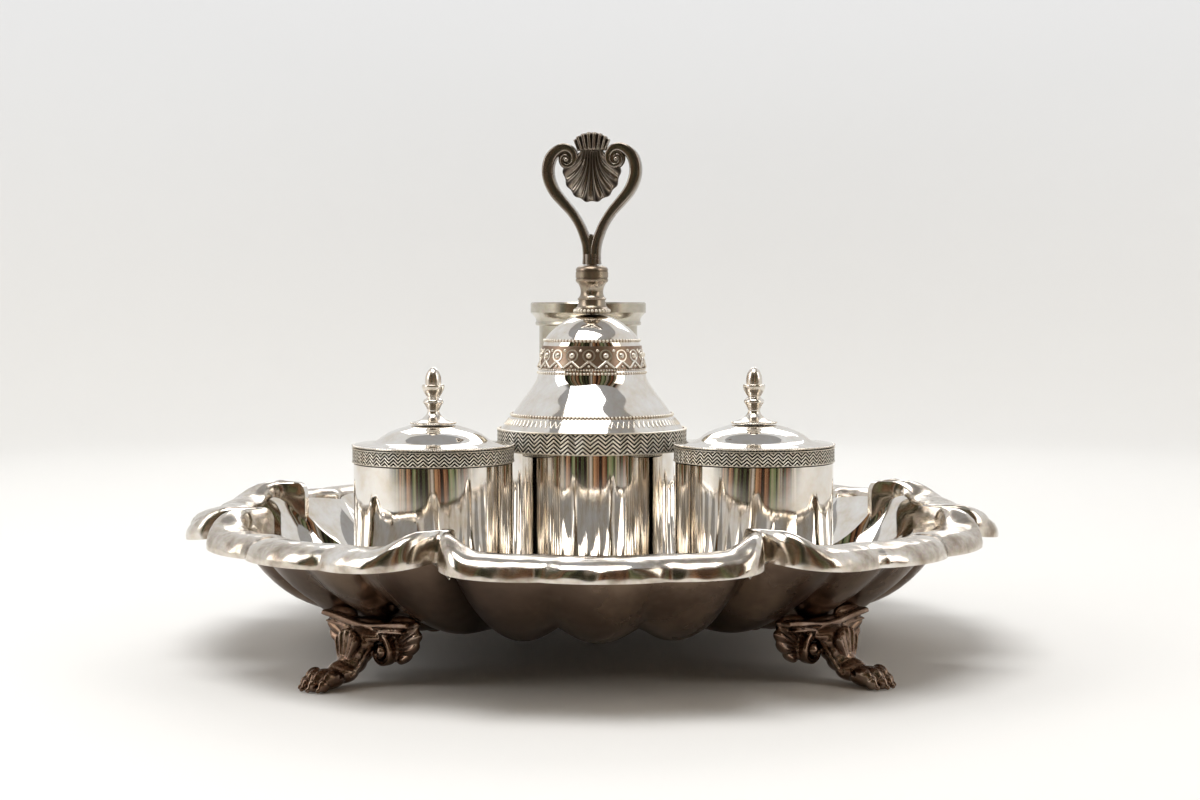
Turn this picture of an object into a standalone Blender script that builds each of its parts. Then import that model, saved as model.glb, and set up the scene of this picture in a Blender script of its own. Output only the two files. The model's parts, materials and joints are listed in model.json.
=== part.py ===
# Silver inkstand: a fluted dish on paw feet with two hinged-lid pots, a bell on its stand and a quill holder.
# Metres, +Z up. The origin is on the floor, under the middle of the dish. The front of the object looks to -Y.

import math

import bmesh
import bpy
from mathutils import Matrix, Vector

# Clearances and overruns
REST_GAP = 0.0003  # between pieces that rest on, or are cut by, each other
RUN_GAP = 0.00015  # between a hinge pin and its knuckle
OVERRUN = 0.002  # how far every cutter runs past what it cuts
SOLE_SINK = 0.0006  # how far the paws are cut flat

# Dish: 8 lobes of 3 flutes
LOBES = 8
FLUTES_PER_LOBE = 3
DISH_RADIUS = 0.1255
DISH_SHEET = 0.0012
DISH_FLOOR_Z = 0.0131
DISH_FLAT_RADIUS = 0.075
CORNER_DRAW_SHARE = 0.20  # how much nearer the middle the wall starts over the feet
DISH_EDGE_Z = 0.0400
FLUTE_START_RADIUS = 0.046
FLUTE_DEPTH = 0.0052
NOTCH_START_RADIUS = 0.034
NOTCH_CREASE_DEPTH = 0.0088
WALL_CURVE_SHARE = 2.3  # power of the wall's rise from the flat to the edge
SEAT_FADE = 0.0060  # width of the band in which a flute dies out beside a seat

# Border moulding of the dish
BORDER_WIDTH = 0.0140
BORDER_LOWER_Z = 0.0363
BORDER_END_RISE = 0.0028
BORDER_CREST = 0.0058
HUMP_RISE = 0.0030
BULGE = 0.0030
NOTCH_BORDER_WIDTH = 0.0085
NOTCH_INSET = 0.0150
BULGE_POWER_SHARE = 0.7  # below 1 the middle bulge has fuller shoulders
NOTCH_HALF_SHARE = 0.03  # half the notch's width as a share of half a lobe

# Feet
FOOT_INSET = 0.0385  # from the dish's widest radius to the middle of a foot's seat
SEAT_RISE = 0.0029  # how far a foot reaches above the underside's lowest line
WING_SINK = 0.0042  # the wings' top below that
PAW_RADIUS = 0.0046
PAW_LENGTH = 0.0060
PAW_HEIGHT = 0.0038
PAW_REACH = 0.0182
TOE_RADIUS = 0.0019
TOE_LENGTH = 0.0034
LEG_RADIUS = 0.0036
WING_SPAN = 0.0190
WING_DROP = 0.0092
WING_THICK = 0.0034
CORNICE_HEIGHT = 0.0016
CORNICE_DEPTH = 0.0062
VOLUTE_RADIUS = 0.0029
VOLUTE_SPREAD = 0.0062
LEAF_WIDTH = 0.0030
TOE_TALL_SHARE = 1.3  # a toe's half height as a share of its radius
TOE_BACK_SHARE = 0.35  # how far the outer toes stand back
LEAF_REACH_SHARE = 0.62  # where the leaf lies along the leg
LEAF_RISE_SHARE = 0.56
LEAF_LENGTH_SHARE = 1.6

# Seats on the dish: two pots and the quill holder stand on one circle
SEAT_CLEARANCE = 0.0016  # between a lid and the bell's band
POT_ANGLE = math.radians(30)
STUD_RADIUS = 0.0016
NUT_RADIUS = 0.0028
NUT_HEIGHT = 0.0048
NUT_DOME = 0.0014
STUD_END_GAP = 0.0008

# Pots and lids
POT_RADIUS = 0.02375
POT_WALL = 0.0010
POT_FLOOR = 0.0014
POT_TOP_Z = 0.0588
BAND_HEIGHT = 0.0048
BAND_WALL = 0.0010
LINER_WALL = 0.0020
LINER_CLEARANCE = 0.0008
LINER_MOUTH_RADIUS = 0.0120
LINER_NECK = 0.0030
SIFTER_THICK = 0.0010
SIFTER_DISH = 0.0040
SIFTER_HOLE_RADIUS = 0.0011
SIFTER_RING_RADIUS = 0.0090
SIFTER_HOLES = 8
LID_RADIUS = 0.0240
LID_SHEET = 0.0010
LID_RISE = 0.0056
FINIAL_HEIGHT = 0.0170
FINIAL_RADIUS = 0.0033
KNUCKLE_RADIUS = 0.0019
KNUCKLE_LENGTH = 0.0056
PIN_RADIUS = 0.0008
PIN_HEAD = 0.0006
PIN_HEAD_SHARE = 1.6  # a pin head's radius as a share of the pin's
BRIM_SHARE = 0.6  # the brim's thickness as a share of the lid's sheet
HINGE_LEAF = 0.0009

# Bell stand
STAND_RADIUS = 0.02575
STAND_WALL = 0.0010
STAND_FLOOR = 0.0014

# Bell
BELL_MOUTH_RADIUS = 0.0287
BELL_WALL = 0.0011
BELL_MOUTH_Z = 0.0608
BELL_BAND_HEIGHT = 0.0068
BELL_BAND_WALL = 0.0009
BELL_TOP_Z = 0.1030
BELL_HEIGHT = BELL_TOP_Z - BELL_MOUTH_Z
FERRULE_RADIUS = 0.0058
FERRULE_HEIGHT = 0.0150
TANG_RADIUS = 0.0016
HANDLE_HEIGHT = 0.0414
HANDLE_HALF_WIDTH = 0.0157
HANDLE_BAR = 0.0033
HANDLE_DEPTH = 0.0042
SCROLL_RADIUS = 0.0027
HANDLE_YAW = math.radians(-13)
SHELL_HALF_WIDTH = 0.0096
SHELL_THICK = 0.0036
STEM_RADIUS = 0.0028
CROWN_SEAT_RADIUS = 0.0030
STAPLE_DROP = 0.0050
STAPLE_WIRE = 0.0008
STAPLE_HALF_WIDTH = 0.0026
STAPLE_BAR_SHARE = 0.8  # the cross bar's radius as a share of the wire's
ROD_RADIUS = 0.0009
ROD_LENGTH = 0.0215
ROD_EYE_RADIUS = 0.0019
BALL_RADIUS = 0.0034

# Quill holder
QUILL_RADIUS = 0.01675
QUILL_WALL = 0.0010
QUILL_FLOOR = 0.0014
QUILL_TOP_Z = 0.1070
FLANGE_RADIUS = 0.0197
FLANGE_HEIGHT = 0.0042
COVE_HEIGHT = 0.0040
COVE_LIP_SHARE = 0.33  # where the cove starts to turn out, as a share of its height

# Facets
FINE_SIDES = 28
SIDES = 20
SMALL_SIDES = 12
PIN_SIDES = 8
TOE_SIDES = 8
TOE_ROWS = 6
FACET_TURN = math.radians(7)


def material(name, colour, roughness, metallic):
    made = bpy.data.materials.new(name)
    made.use_nodes = True
    shader = made.node_tree.nodes["Principled BSDF"]
    shader.inputs["Base Color"].default_value = (*colour, 1)
    shader.inputs["Roughness"].default_value = roughness
    shader.inputs["Metallic"].default_value = metallic
    made.diffuse_color = (*colour, 1)
    return made


def object_of(bm, name, colours, smooth_angle=35):
    """One named object from a bmesh, with round faces shaded smooth."""
    bmesh.ops.recalc_face_normals(bm, faces=bm.faces)
    mesh = bpy.data.meshes.new(name)
    bm.to_mesh(mesh)
    bm.free()
    mesh.shade_smooth()
    mesh.set_sharp_from_angle(angle=math.radians(smooth_angle))
    made = bpy.data.objects.new(name, mesh)
    bpy.context.scene.collection.objects.link(made)
    colour, roughness, metallic = colours
    mesh.materials.append(material(name + "_metal" if metallic else name + "_body", colour, roughness, metallic))
    return made


def cutter_of(bm, name):
    made = object_of(bm, name, CUTTER)
    made.hide_render = True
    made.display_type = "WIRE"
    return made


def boolean(target, other, operation):
    cut = target.modifiers.new(operation.lower(), "BOOLEAN")
    cut.operation = operation
    cut.solver = "EXACT"
    cut.object = other


POLISHED = ((0.86, 0.84, 0.81), 0.12, 1)
WORN = ((0.80, 0.77, 0.72), 0.25, 1)
TARNISHED = ((0.30, 0.27, 0.24), 0.35, 1)
DARK_CAST = ((0.27, 0.25, 0.22), 0.38, 1)
GLASS = ((0.75, 0.82, 0.84), 0.05, 0)
CUTTER = ((0.8, 0.1, 0.1), 0.5, 0)


def turned(profile, sides, centre=(0, 0), phase=0):
    """A solid turned about a vertical axis. The profile is (radius, z) points that start and end on the axis."""
    bm = bmesh.new()
    rings = []
    for radius, z in profile:
        if radius == 0:
            rings.append([bm.verts.new((centre[0], centre[1], z))])
            continue
        ring = []
        for i in range(sides):
            a = phase + 2 * math.pi * i / sides
            ring.append(bm.verts.new((centre[0] + radius * math.cos(a), centre[1] + radius * math.sin(a), z)))
        rings.append(ring)
    skin_rings(bm, rings)
    return bm


def turned_ring(profile, sides, centre=(0, 0)):
    """A ring turned about a vertical axis. The profile is a closed loop of (radius, z) points off the axis."""
    bm = bmesh.new()
    rings = []
    for radius, z in profile:
        ring = []
        for i in range(sides):
            a = 2 * math.pi * i / sides
            ring.append(bm.verts.new((centre[0] + radius * math.cos(a), centre[1] + radius * math.sin(a), z)))
        rings.append(ring)
    skin_rings(bm, rings + rings[:1])
    return bm


def skin_rings(bm, rings):
    for low, high in zip(rings, rings[1:]):
        count = max(len(low), len(high))
        for i in range(count):
            j = (i + 1) % count
            if len(low) == 1:
                bm.faces.new((low[0], high[i], high[j]))
            elif len(high) == 1:
                bm.faces.new((low[i], low[j], high[0]))
            else:
                bm.faces.new((low[i], low[j], high[j], high[i]))


def tube_between(start, end, radius, sides):
    """A plain round bar from one point to another."""
    start, end = Vector(start), Vector(end)
    bm = bmesh.new()
    bmesh.ops.create_cone(
        bm, cap_ends=True, segments=sides, radius1=radius, radius2=radius, depth=(end - start).length
    )
    turn = (end - start).to_track_quat("Z", "Y").to_matrix().to_4x4()
    bmesh.ops.transform(bm, matrix=Matrix.Translation((start + end) / 2) @ turn, verts=bm.verts)
    return bm


def ellipsoid(centre, radii, columns, rows):
    """The facets are turned a little, so that those of two joined shapes never lie in one plane."""
    bm = bmesh.new()
    bmesh.ops.create_uvsphere(bm, u_segments=columns, v_segments=rows, radius=1)
    for axis in ("Z", "X"):
        bmesh.ops.transform(bm, matrix=Matrix.Rotation(FACET_TURN, 4, axis), verts=bm.verts)
    bmesh.ops.scale(bm, vec=radii, verts=bm.verts)
    bmesh.ops.translate(bm, vec=centre, verts=bm.verts)
    return bm


def block(low, high):
    bm = bmesh.new()
    bmesh.ops.create_cube(bm, size=1)
    low, high = Vector(low), Vector(high)
    bmesh.ops.scale(bm, vec=high - low, verts=bm.verts)
    bmesh.ops.translate(bm, vec=(high + low) / 2, verts=bm.verts)
    return bm


def joined(name, shapes, colours):
    """One body from several closed shapes, by a union of each with the first."""
    body = object_of(shapes[0], name, colours)
    for i, shape in enumerate(shapes[1:]):
        boolean(body, cutter_of(shape, f"{name}_joined_{i}"), "UNION")
    return body


SEAT_CIRCLE_RADIUS = BELL_MOUTH_RADIUS + REST_GAP + BELL_BAND_WALL + SEAT_CLEARANCE + LID_RADIUS


def seat_places():
    """Where the two pots and the quill holder stand, as (x, y)."""
    c, s = math.cos(POT_ANGLE), math.sin(POT_ANGLE)
    return {
        "inkwell": (-SEAT_CIRCLE_RADIUS * c, -SEAT_CIRCLE_RADIUS * s),
        "pounce": (SEAT_CIRCLE_RADIUS * c, -SEAT_CIRCLE_RADIUS * s),
        "quill": (0, SEAT_CIRCLE_RADIUS),
    }


SEATS = seat_places()
SEAT_RADII = {"inkwell": POT_RADIUS, "pounce": POT_RADIUS, "quill": QUILL_RADIUS}
FLOOR_TOP_Z = DISH_FLOOR_Z + DISH_SHEET
SEAT_Z = FLOOR_TOP_Z + REST_GAP

# Dish. Angles within a lobe are shares of half a lobe: 0 on the lobe's axis, 1 in the notch.
LOBE_HALF = math.pi / LOBES
FLUTE_SHARE = 1 / FLUTES_PER_LOBE  # half of the middle flute
END_START_SHARE = 0.70  # where a lobe's end starts to turn into the notch
FLUTE_COLUMN_SHARES = (0, 0.5, 1, 1.5, 2, 2.5)  # of half a flute
END_COLUMN_SHARES = (0.35, 0.62, 0.83, 1)  # sines along the turned end


def lobe_columns():
    """Shares of half a lobe at which the dish has a column of points, denser where the end turns in."""
    rounded = 1 - NOTCH_HALF_SHARE
    flutes = [FLUTE_SHARE * s for s in FLUTE_COLUMN_SHARES if FLUTE_SHARE * s < END_START_SHARE]
    ends = [END_START_SHARE + (rounded - END_START_SHARE) * s for s in END_COLUMN_SHARES]
    half = flutes + ends + [1]
    return [-s for s in reversed(half[1:])] + half[:-1]


def dish_angles():
    """(angle, share) of every column round the dish."""
    return [(2 * LOBE_HALF * lobe + share * LOBE_HALF, share) for lobe in range(LOBES) for share in lobe_columns()]


def end_turn(share):
    """0 along a lobe, 1 in the notch, with the round end of the lobe between."""
    along = (abs(share) - END_START_SHARE) / (1 - NOTCH_HALF_SHARE - END_START_SHARE)
    along = min(max(along, 0), 1)
    return 1 - math.sqrt(1 - along * along)


def hump(share):
    """0 along a lobe, 1 in the notch, with a soft rise."""
    along = min(max((abs(share) - END_START_SHARE) / (1 - END_START_SHARE), 0), 1)
    return along * along * (3 - 2 * along)


def outer_radius(share):
    """The border's outer edge: a bulge over each flute, and the notch."""
    along = (abs(share) / FLUTE_SHARE + 1) / 2 % 1
    bulge = BULGE * math.sin(math.pi * along) ** BULGE_POWER_SHARE
    if abs(share) > FLUTE_SHARE:
        wide = (abs(share) - FLUTE_SHARE) / (1 - FLUTE_SHARE)
        bulge = BULGE * math.sin(math.pi * min(wide, 0.5))
    return DISH_RADIUS - BULGE + bulge - NOTCH_INSET * end_turn(share)


def edge_radius(share):
    """Where the bowl ends and the border starts."""
    return outer_radius(share) - BORDER_WIDTH - (NOTCH_BORDER_WIDTH - BORDER_WIDTH) * hump(share)


def near_seat(x, y):
    """0 under a pot or the quill holder, 1 clear of it."""
    clear = 1.0
    for name, (sx, sy) in SEATS.items():
        away = (math.hypot(x - sx, y - sy) - SEAT_RADII[name] - SEAT_FADE) / SEAT_FADE
        clear = min(clear, min(max(away, 0), 1))
    return clear


def flat_radius(angle):
    """Where the wall starts: farthest out at the front, back and sides, nearest over the feet."""
    return DISH_FLAT_RADIUS * (1 - CORNER_DRAW_SHARE * (1 - math.cos(4 * angle)) / 2)


def wall_rise(radius, angle):
    """The underside's height at the bottom of a flute."""
    flat = flat_radius(angle)
    along = max(radius - flat, 0) / (DISH_RADIUS - BORDER_WIDTH - flat)
    return DISH_FLOOR_Z + (DISH_EDGE_Z - DISH_SHEET - DISH_FLOOR_Z) * along**WALL_CURVE_SHARE


def ramp(radius, start, end):
    return min(max((radius - start) / (end - start), 0), 1)


def underside(radius, angle, share):
    """The height of the bowl's underside at a point."""
    in_flute = (abs(share) / FLUTE_SHARE + 1) % 2 - 1
    crease = 1 - math.cos(math.pi / 2 * in_flute)
    depth = FLUTE_DEPTH * ramp(radius, FLUTE_START_RADIUS, DISH_FLAT_RADIUS)
    near_notch = max(abs(share) - FLUTE_SHARE * 2, 0) / FLUTE_SHARE
    extra = (NOTCH_CREASE_DEPTH - FLUTE_DEPTH) * ramp(radius, NOTCH_START_RADIUS, DISH_FLAT_RADIUS) * near_notch**3
    fade = near_seat(radius * math.cos(angle), radius * math.sin(angle))
    return DISH_FLOOR_Z + (wall_rise(radius, angle) - DISH_FLOOR_Z + depth * crease + extra) * fade


def edge_height(radius, angle, share):
    return underside(radius, angle, share) + DISH_SHEET


# Rings of the bowl: flat radii from the middle, then shares of the way up the wall
FLAT_RING_SHARES = (0.5, 0.76, 0.89)
WALL_RING_SHARES = (0, 0.23, 0.46, 0.74, 1)


def dish_rings(share):
    """The radii of the bowl's points in one column."""
    edge = edge_radius(share)
    flat = [DISH_FLAT_RADIUS * s for s in FLAT_RING_SHARES]
    return flat + [DISH_FLAT_RADIUS + (edge - DISH_FLAT_RADIUS) * s for s in WALL_RING_SHARES]


def dish_skin(bm, lift, upward):
    """One surface of the bowl, and its outer ring of vertices."""
    columns = []
    for angle, share in dish_angles():
        column = []
        for radius in dish_rings(share):
            z = underside(radius, angle, share) + lift
            column.append(bm.verts.new((radius * math.cos(angle), radius * math.sin(angle), z)))
        columns.append(column)
    middle = bm.verts.new((0, 0, DISH_FLOOR_Z + lift))
    for one, two in zip(columns, columns[1:] + columns[:1]):
        faces = [(middle, one[0], two[0])]
        faces += [(one[k], one[k + 1], two[k + 1]) for k in range(len(one) - 1)]
        faces += [(one[k], two[k + 1], two[k]) for k in range(len(one) - 1)]
        for face in faces:
            bm.faces.new(face if upward else tuple(reversed(face)))
    return [column[-1] for column in columns]


def dish_bowl():
    bm = bmesh.new()
    upper = dish_skin(bm, DISH_SHEET, True)
    lower = dish_skin(bm, 0, False)
    for i in range(len(upper)):
        j = (i + 1) % len(upper)
        bm.faces.new((upper[i], lower[i], lower[j], upper[j]))
    bowl = object_of(bm, "tray_bowl", WORN, smooth_angle=50)
    holes = dict(SEATS, stand=(0, 0))
    for name, (x, y) in holes.items():
        top, bottom = FLOOR_TOP_Z + OVERRUN, DISH_FLOOR_Z - OVERRUN
        radius = STUD_RADIUS + REST_GAP
        profile = [(0, bottom), (radius, bottom), (radius, top), (0, top)]
        hole = turned(profile, PIN_SIDES, (x, y), FACET_TURN)
        boolean(bowl, cutter_of(hole, f"tray_hole_{name}"), "DIFFERENCE")
    return bowl


def underside_cutter(name):
    """Everything above the bowl's underside, less a gap, to cut what is seated against it from below."""
    bm = bmesh.new()
    lower = dish_skin(bm, -REST_GAP, False)
    top = DISH_EDGE_Z + BORDER_CREST + OVERRUN
    raised = [bm.verts.new((v.co.x, v.co.y, top)) for v in lower]
    middle = bm.verts.new((0, 0, top))
    for i in range(len(lower)):
        j = (i + 1) % len(lower)
        bm.faces.new((lower[i], lower[j], raised[j], raised[i]))
        bm.faces.new((middle, raised[i], raised[j]))
    return cutter_of(bm, name)


# The border's section: shares of its width from the inner seam, and of its crest's height
BORDER_TOP_SHARES = ((0.0, 0.55), (0.30, 1.0), (0.62, 0.85), (0.88, 0.40), (1.0, 0.0))
BORDER_UNDER_SHARES = (0.62, 0.0)


def border_section(angle, share):
    """(radius, z) points of the border at one column, round its section."""
    inner, outer = edge_radius(share) + REST_GAP, outer_radius(share)
    seam_top = edge_height(edge_radius(share), angle, share)
    end = hump(share)
    low = BORDER_LOWER_Z + BORDER_END_RISE * share**4
    crest = low + BORDER_CREST + HUMP_RISE * end
    seam_low = seam_top - 2 * DISH_SHEET
    points = []
    for across, up in BORDER_TOP_SHARES:
        points.append((inner + (outer - inner) * across, low + (crest - low) * up))
    points[0] = (inner, max(points[0][1], seam_top))
    under = low + DISH_SHEET
    points += [(inner + (outer - inner) * across, seam_low + (under - seam_low) * across)
               for across in BORDER_UNDER_SHARES]
    return points


def dish_border():
    bm = bmesh.new()
    rings = []
    for angle, share in dish_angles():
        ring = [bm.verts.new((r * math.cos(angle), r * math.sin(angle), z)) for r, z in border_section(angle, share)]
        rings.append(ring)
    skin_rings(bm, rings + rings[:1])
    return object_of(bm, "tray_rim_moulding", POLISHED, smooth_angle=50)


# Feet. Each is built along +X, outward from the dish's axis, and turned to its corner.
FOOT_ANGLES = {"front_left": 225, "front_right": 315, "back_left": 135, "back_right": 45}
TOES = 4
LEG_SHARES = (  # (reach, height, thickness) along the leg from ankle to knee to seat
    (0.86, 0.20, 0.95),
    (0.68, 0.42, 0.95),
    (0.46, 0.62, 1.10),
    (0.20, 0.84, 1.45),
    (0.05, 1.10, 1.75),
)
FOOT_RADIUS = DISH_RADIUS - FOOT_INSET
SEAT_TOP_Z = wall_rise(FOOT_RADIUS, math.radians(FOOT_ANGLES["back_right"])) + SEAT_RISE


def paw_shapes():
    """The pad and the toes, standing a little low so that the sole can be cut flat."""
    middle = FOOT_RADIUS + PAW_REACH
    sole = PAW_HEIGHT - SOLE_SINK
    shapes = [ellipsoid((middle, 0, sole), (PAW_LENGTH, PAW_RADIUS, PAW_HEIGHT), SMALL_SIDES, TOE_SIDES)]
    for i in range(TOES):
        side = (i - (TOES - 1) / 2) / (TOES / 2)
        place = (
            middle + PAW_LENGTH * (1 - TOE_BACK_SHARE * side * side) - TOE_LENGTH / 2,
            side * PAW_RADIUS,
            TOE_RADIUS * TOE_TALL_SHARE - SOLE_SINK,
        )
        shapes.append(ellipsoid(place, (TOE_LENGTH, TOE_RADIUS, TOE_RADIUS * TOE_TALL_SHARE), TOE_SIDES, TOE_ROWS))
    return shapes


def leg_shape():
    bm = bmesh.new()
    rings = []
    for reach, height, thick in LEG_SHARES:
        ring = []
        for i in range(PIN_SIDES):
            a = 2 * math.pi * i / PIN_SIDES
            x = FOOT_RADIUS + PAW_REACH * reach + LEG_RADIUS * thick * math.cos(a)
            z = SEAT_TOP_Z * height + LEG_RADIUS * thick * math.cos(a) / 2
            ring.append(bm.verts.new((x, LEG_RADIUS * thick * math.sin(a), z)))
        rings.append(ring)
    low = bm.verts.new(sum((v.co for v in rings[0]), Vector()) / PIN_SIDES)
    high = bm.verts.new(sum((v.co for v in rings[-1]), Vector()) / PIN_SIDES)
    skin_rings(bm, [[low], *rings, [high]])
    return bm


def wing_shapes():
    """The two shell wings, their volutes, the cornice and the leaf down the front."""
    top = SEAT_TOP_Z - WING_SINK
    leaf_place = (FOOT_RADIUS + PAW_REACH * LEAF_REACH_SHARE, 0, SEAT_TOP_Z * LEAF_RISE_SHARE)
    leaf_radii = (LEG_RADIUS, LEAF_WIDTH, LEG_RADIUS * LEAF_LENGTH_SHARE)
    shapes = [
        ellipsoid((FOOT_RADIUS, 0, top), (WING_THICK, WING_SPAN, WING_DROP), SMALL_SIDES, TOE_SIDES),
        ellipsoid((FOOT_RADIUS, 0, top), (CORNICE_DEPTH, WING_SPAN, CORNICE_HEIGHT), SMALL_SIDES, TOE_ROWS),
        ellipsoid(leaf_place, leaf_radii, TOE_SIDES, TOE_ROWS),
    ]
    low = top - WING_DROP + VOLUTE_RADIUS
    for side in (-1, 1):
        start = (FOOT_RADIUS, side * VOLUTE_SPREAD, low)
        end = (FOOT_RADIUS + CORNICE_DEPTH, side * VOLUTE_SPREAD, low)
        shapes.append(tube_between(start, end, VOLUTE_RADIUS, PIN_SIDES))
    return shapes


def feet(seat_cutter):
    for corner, degrees in FOOT_ANGLES.items():
        shapes = [leg_shape()] + paw_shapes() + wing_shapes()
        turn = Matrix.Rotation(math.radians(degrees), 4, "Z")
        for shape in shapes:
            bmesh.ops.transform(shape, matrix=turn, verts=shape.verts)
        foot = joined(f"foot_{corner}", shapes, TARNISHED)
        under = block((-DISH_RADIUS, -DISH_RADIUS, -PAW_HEIGHT), (DISH_RADIUS, DISH_RADIUS, 0))
        boolean(foot, cutter_of(under, f"foot_{corner}_floor"), "DIFFERENCE")
        boolean(foot, seat_cutter, "DIFFERENCE")


def cap_nut(name, place):
    """A round cap nut under the dish, with a blind hole for the stud."""
    x, y = place
    top = DISH_FLOOR_Z - REST_GAP
    low = top - NUT_HEIGHT
    bore = STUD_RADIUS + REST_GAP
    roof = low + NUT_DOME
    profile = [
        (0, low), (NUT_RADIUS - NUT_DOME / 2, low), (NUT_RADIUS, low + NUT_DOME),
        (NUT_RADIUS, top), (bore, top), (bore, roof), (0, roof),
    ]
    object_of(turned(profile, SMALL_SIDES, (x, y)), name, TARNISHED)


def stud_profile():
    """The stud below a base: from its end up to the base."""
    end = DISH_FLOOR_Z - REST_GAP - NUT_HEIGHT + NUT_DOME + STUD_END_GAP
    return [(0, end), (STUD_RADIUS, end), (STUD_RADIUS, SEAT_Z)]


def cup_profile(radius, wall, floor, top):
    """A straight-sided cup on a stud."""
    inner = SEAT_Z + floor
    cup = [(radius, SEAT_Z), (radius, top), (radius - wall, top), (radius - wall, inner), (0, inner)]
    return stud_profile() + cup


# Hinges stand at the back of each pot, behind its band, with the axis along X.
BAND_TOP_Z = POT_TOP_Z + BAND_HEIGHT
BAND_RADIUS = POT_RADIUS + BAND_WALL / 2
LID_Z = BAND_TOP_Z + REST_GAP
HINGE_Z = BAND_TOP_Z + REST_GAP / 2
HINGE_OUT = BAND_RADIUS + KNUCKLE_RADIUS + REST_GAP


def knuckle(x, y, start, end):
    """A hinge knuckle along X with a bore for the pin."""
    ends = [(x + along, y + HINGE_OUT, HINGE_Z) for along in (start, end)]
    return tube_between(*ends, KNUCKLE_RADIUS, SMALL_SIDES)


def pin_bore(name, x, y):
    reach = 2 * KNUCKLE_LENGTH
    ends = [(x + s * reach, y + HINGE_OUT, HINGE_Z) for s in (-1, 1)]
    return cutter_of(tube_between(*ends, PIN_RADIUS + RUN_GAP, PIN_SIDES), name)


def hinge_ear(x, y, start, end, low, high):
    """A leaf from a pot's or lid's rim out to its knuckle."""
    inner = y + BAND_RADIUS - BAND_WALL / 2
    return block((x + start, inner, low), (x + end, y + HINGE_OUT, high))


# Shares of half a knuckle's length: the lid has the middle knuckle, the band the two outer ones
LID_KNUCKLE_SHARE = 0.5
OUTER_KNUCKLE_SHARE = 1.5


def knuckle_spans():
    inner = KNUCKLE_LENGTH * LID_KNUCKLE_SHARE
    outer = KNUCKLE_LENGTH * OUTER_KNUCKLE_SHARE
    return (-inner, inner), ((-outer, -inner - REST_GAP), (inner + REST_GAP, outer))


def pot(which):
    x, y = SEATS[which]
    body = turned(cup_profile(POT_RADIUS, POT_WALL, POT_FLOOR, POT_TOP_Z), FINE_SIDES, (x, y))
    object_of(body, f"{which}_pot_body", POLISHED)
    cap_nut(f"{which}_nut", (x, y))

    low = POT_TOP_Z + REST_GAP
    inner = BAND_RADIUS - BAND_WALL
    ring = [(inner, low), (BAND_RADIUS, low), (BAND_RADIUS, BAND_TOP_Z), (inner, BAND_TOP_Z)]
    shapes = [turned_ring(ring, FINE_SIDES, (x, y))]
    for start, end in knuckle_spans()[1]:
        shapes.append(knuckle(x, y, start, end))
        shapes.append(hinge_ear(x, y, start, end, HINGE_Z - KNUCKLE_RADIUS, HINGE_Z - HINGE_LEAF))
    band = joined(f"{which}_mouth_band", shapes, WORN)
    boolean(band, pin_bore(f"{which}_band_bore", x, y), "DIFFERENCE")


# The lid's outer side from the brim to the finial's seat: shares of its radius and of its rise
LID_SHAPE_SHARES = (
    (1.000, 0.00), (0.985, 0.10), (0.890, 0.18), (0.760, 0.28), (0.640, 0.42),
    (0.510, 0.63), (0.390, 0.84), (0.280, 1.00),
)


def lid(which):
    x, y = SEATS[which]
    outer = [(LID_RADIUS * r, LID_Z + LID_SHEET * BRIM_SHARE + LID_RISE * z) for r, z in LID_SHAPE_SHARES]
    under = [(r, z - LID_SHEET) for r, z in outer[2:]]
    rim = LID_RADIUS * LID_SHAPE_SHARES[2][0]
    edge = [(rim, LID_Z), (LID_RADIUS, LID_Z)]
    profile = [(0, under[-1][1]), *reversed(under[1:]), *edge, *outer, (0, outer[-1][1])]
    shapes = [turned(profile, FINE_SIDES, (x, y))]
    start, end = knuckle_spans()[0]
    start, end = start + REST_GAP, end - REST_GAP
    shapes.append(knuckle(x, y, start, end))
    shapes.append(hinge_ear(x, y, start, end, HINGE_Z + REST_GAP, HINGE_Z + HINGE_LEAF))
    made = joined(f"{which}_lid", shapes, POLISHED)
    boolean(made, pin_bore(f"{which}_lid_bore", x, y), "DIFFERENCE")

    reach = KNUCKLE_LENGTH * OUTER_KNUCKLE_SHARE + REST_GAP
    tips = [(x + side * (reach + PIN_HEAD), y + HINGE_OUT, HINGE_Z) for side in (-1, 1)]
    shapes = [tube_between(*tips, PIN_RADIUS, PIN_SIDES)]
    for side, far in zip((-1, 1), tips):
        near = (x + side * reach, y + HINGE_OUT, HINGE_Z)
        shapes.append(tube_between(near, far, PIN_RADIUS * PIN_HEAD_SHARE, PIN_SIDES))
    joined(f"{which}_hinge_pin", shapes, WORN)

    seat = outer[-1][1] + REST_GAP
    finial = [(0, seat), *((FINIAL_RADIUS * r, seat + FINIAL_HEIGHT * z) for r, z in FINIAL_SHAPE_SHARES)]
    object_of(turned(finial, SMALL_SIDES, (x, y)), f"{which}_lid_finial", POLISHED)


# The acorn finial: shares of its widest ring and of its height
FINIAL_SHAPE_SHARES = (
    (2.03, 0.00), (2.03, 0.045), (1.10, 0.09), (0.66, 0.18), (0.52, 0.30),
    (0.62, 0.36), (0.91, 0.39), (0.60, 0.44),
    (0.54, 0.50), (0.64, 0.55), (1.00, 0.67), (0.96, 0.71), (0.68, 0.73),
    (0.70, 0.80), (0.55, 0.91), (0.25, 0.985), (0, 1.0),
)


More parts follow.
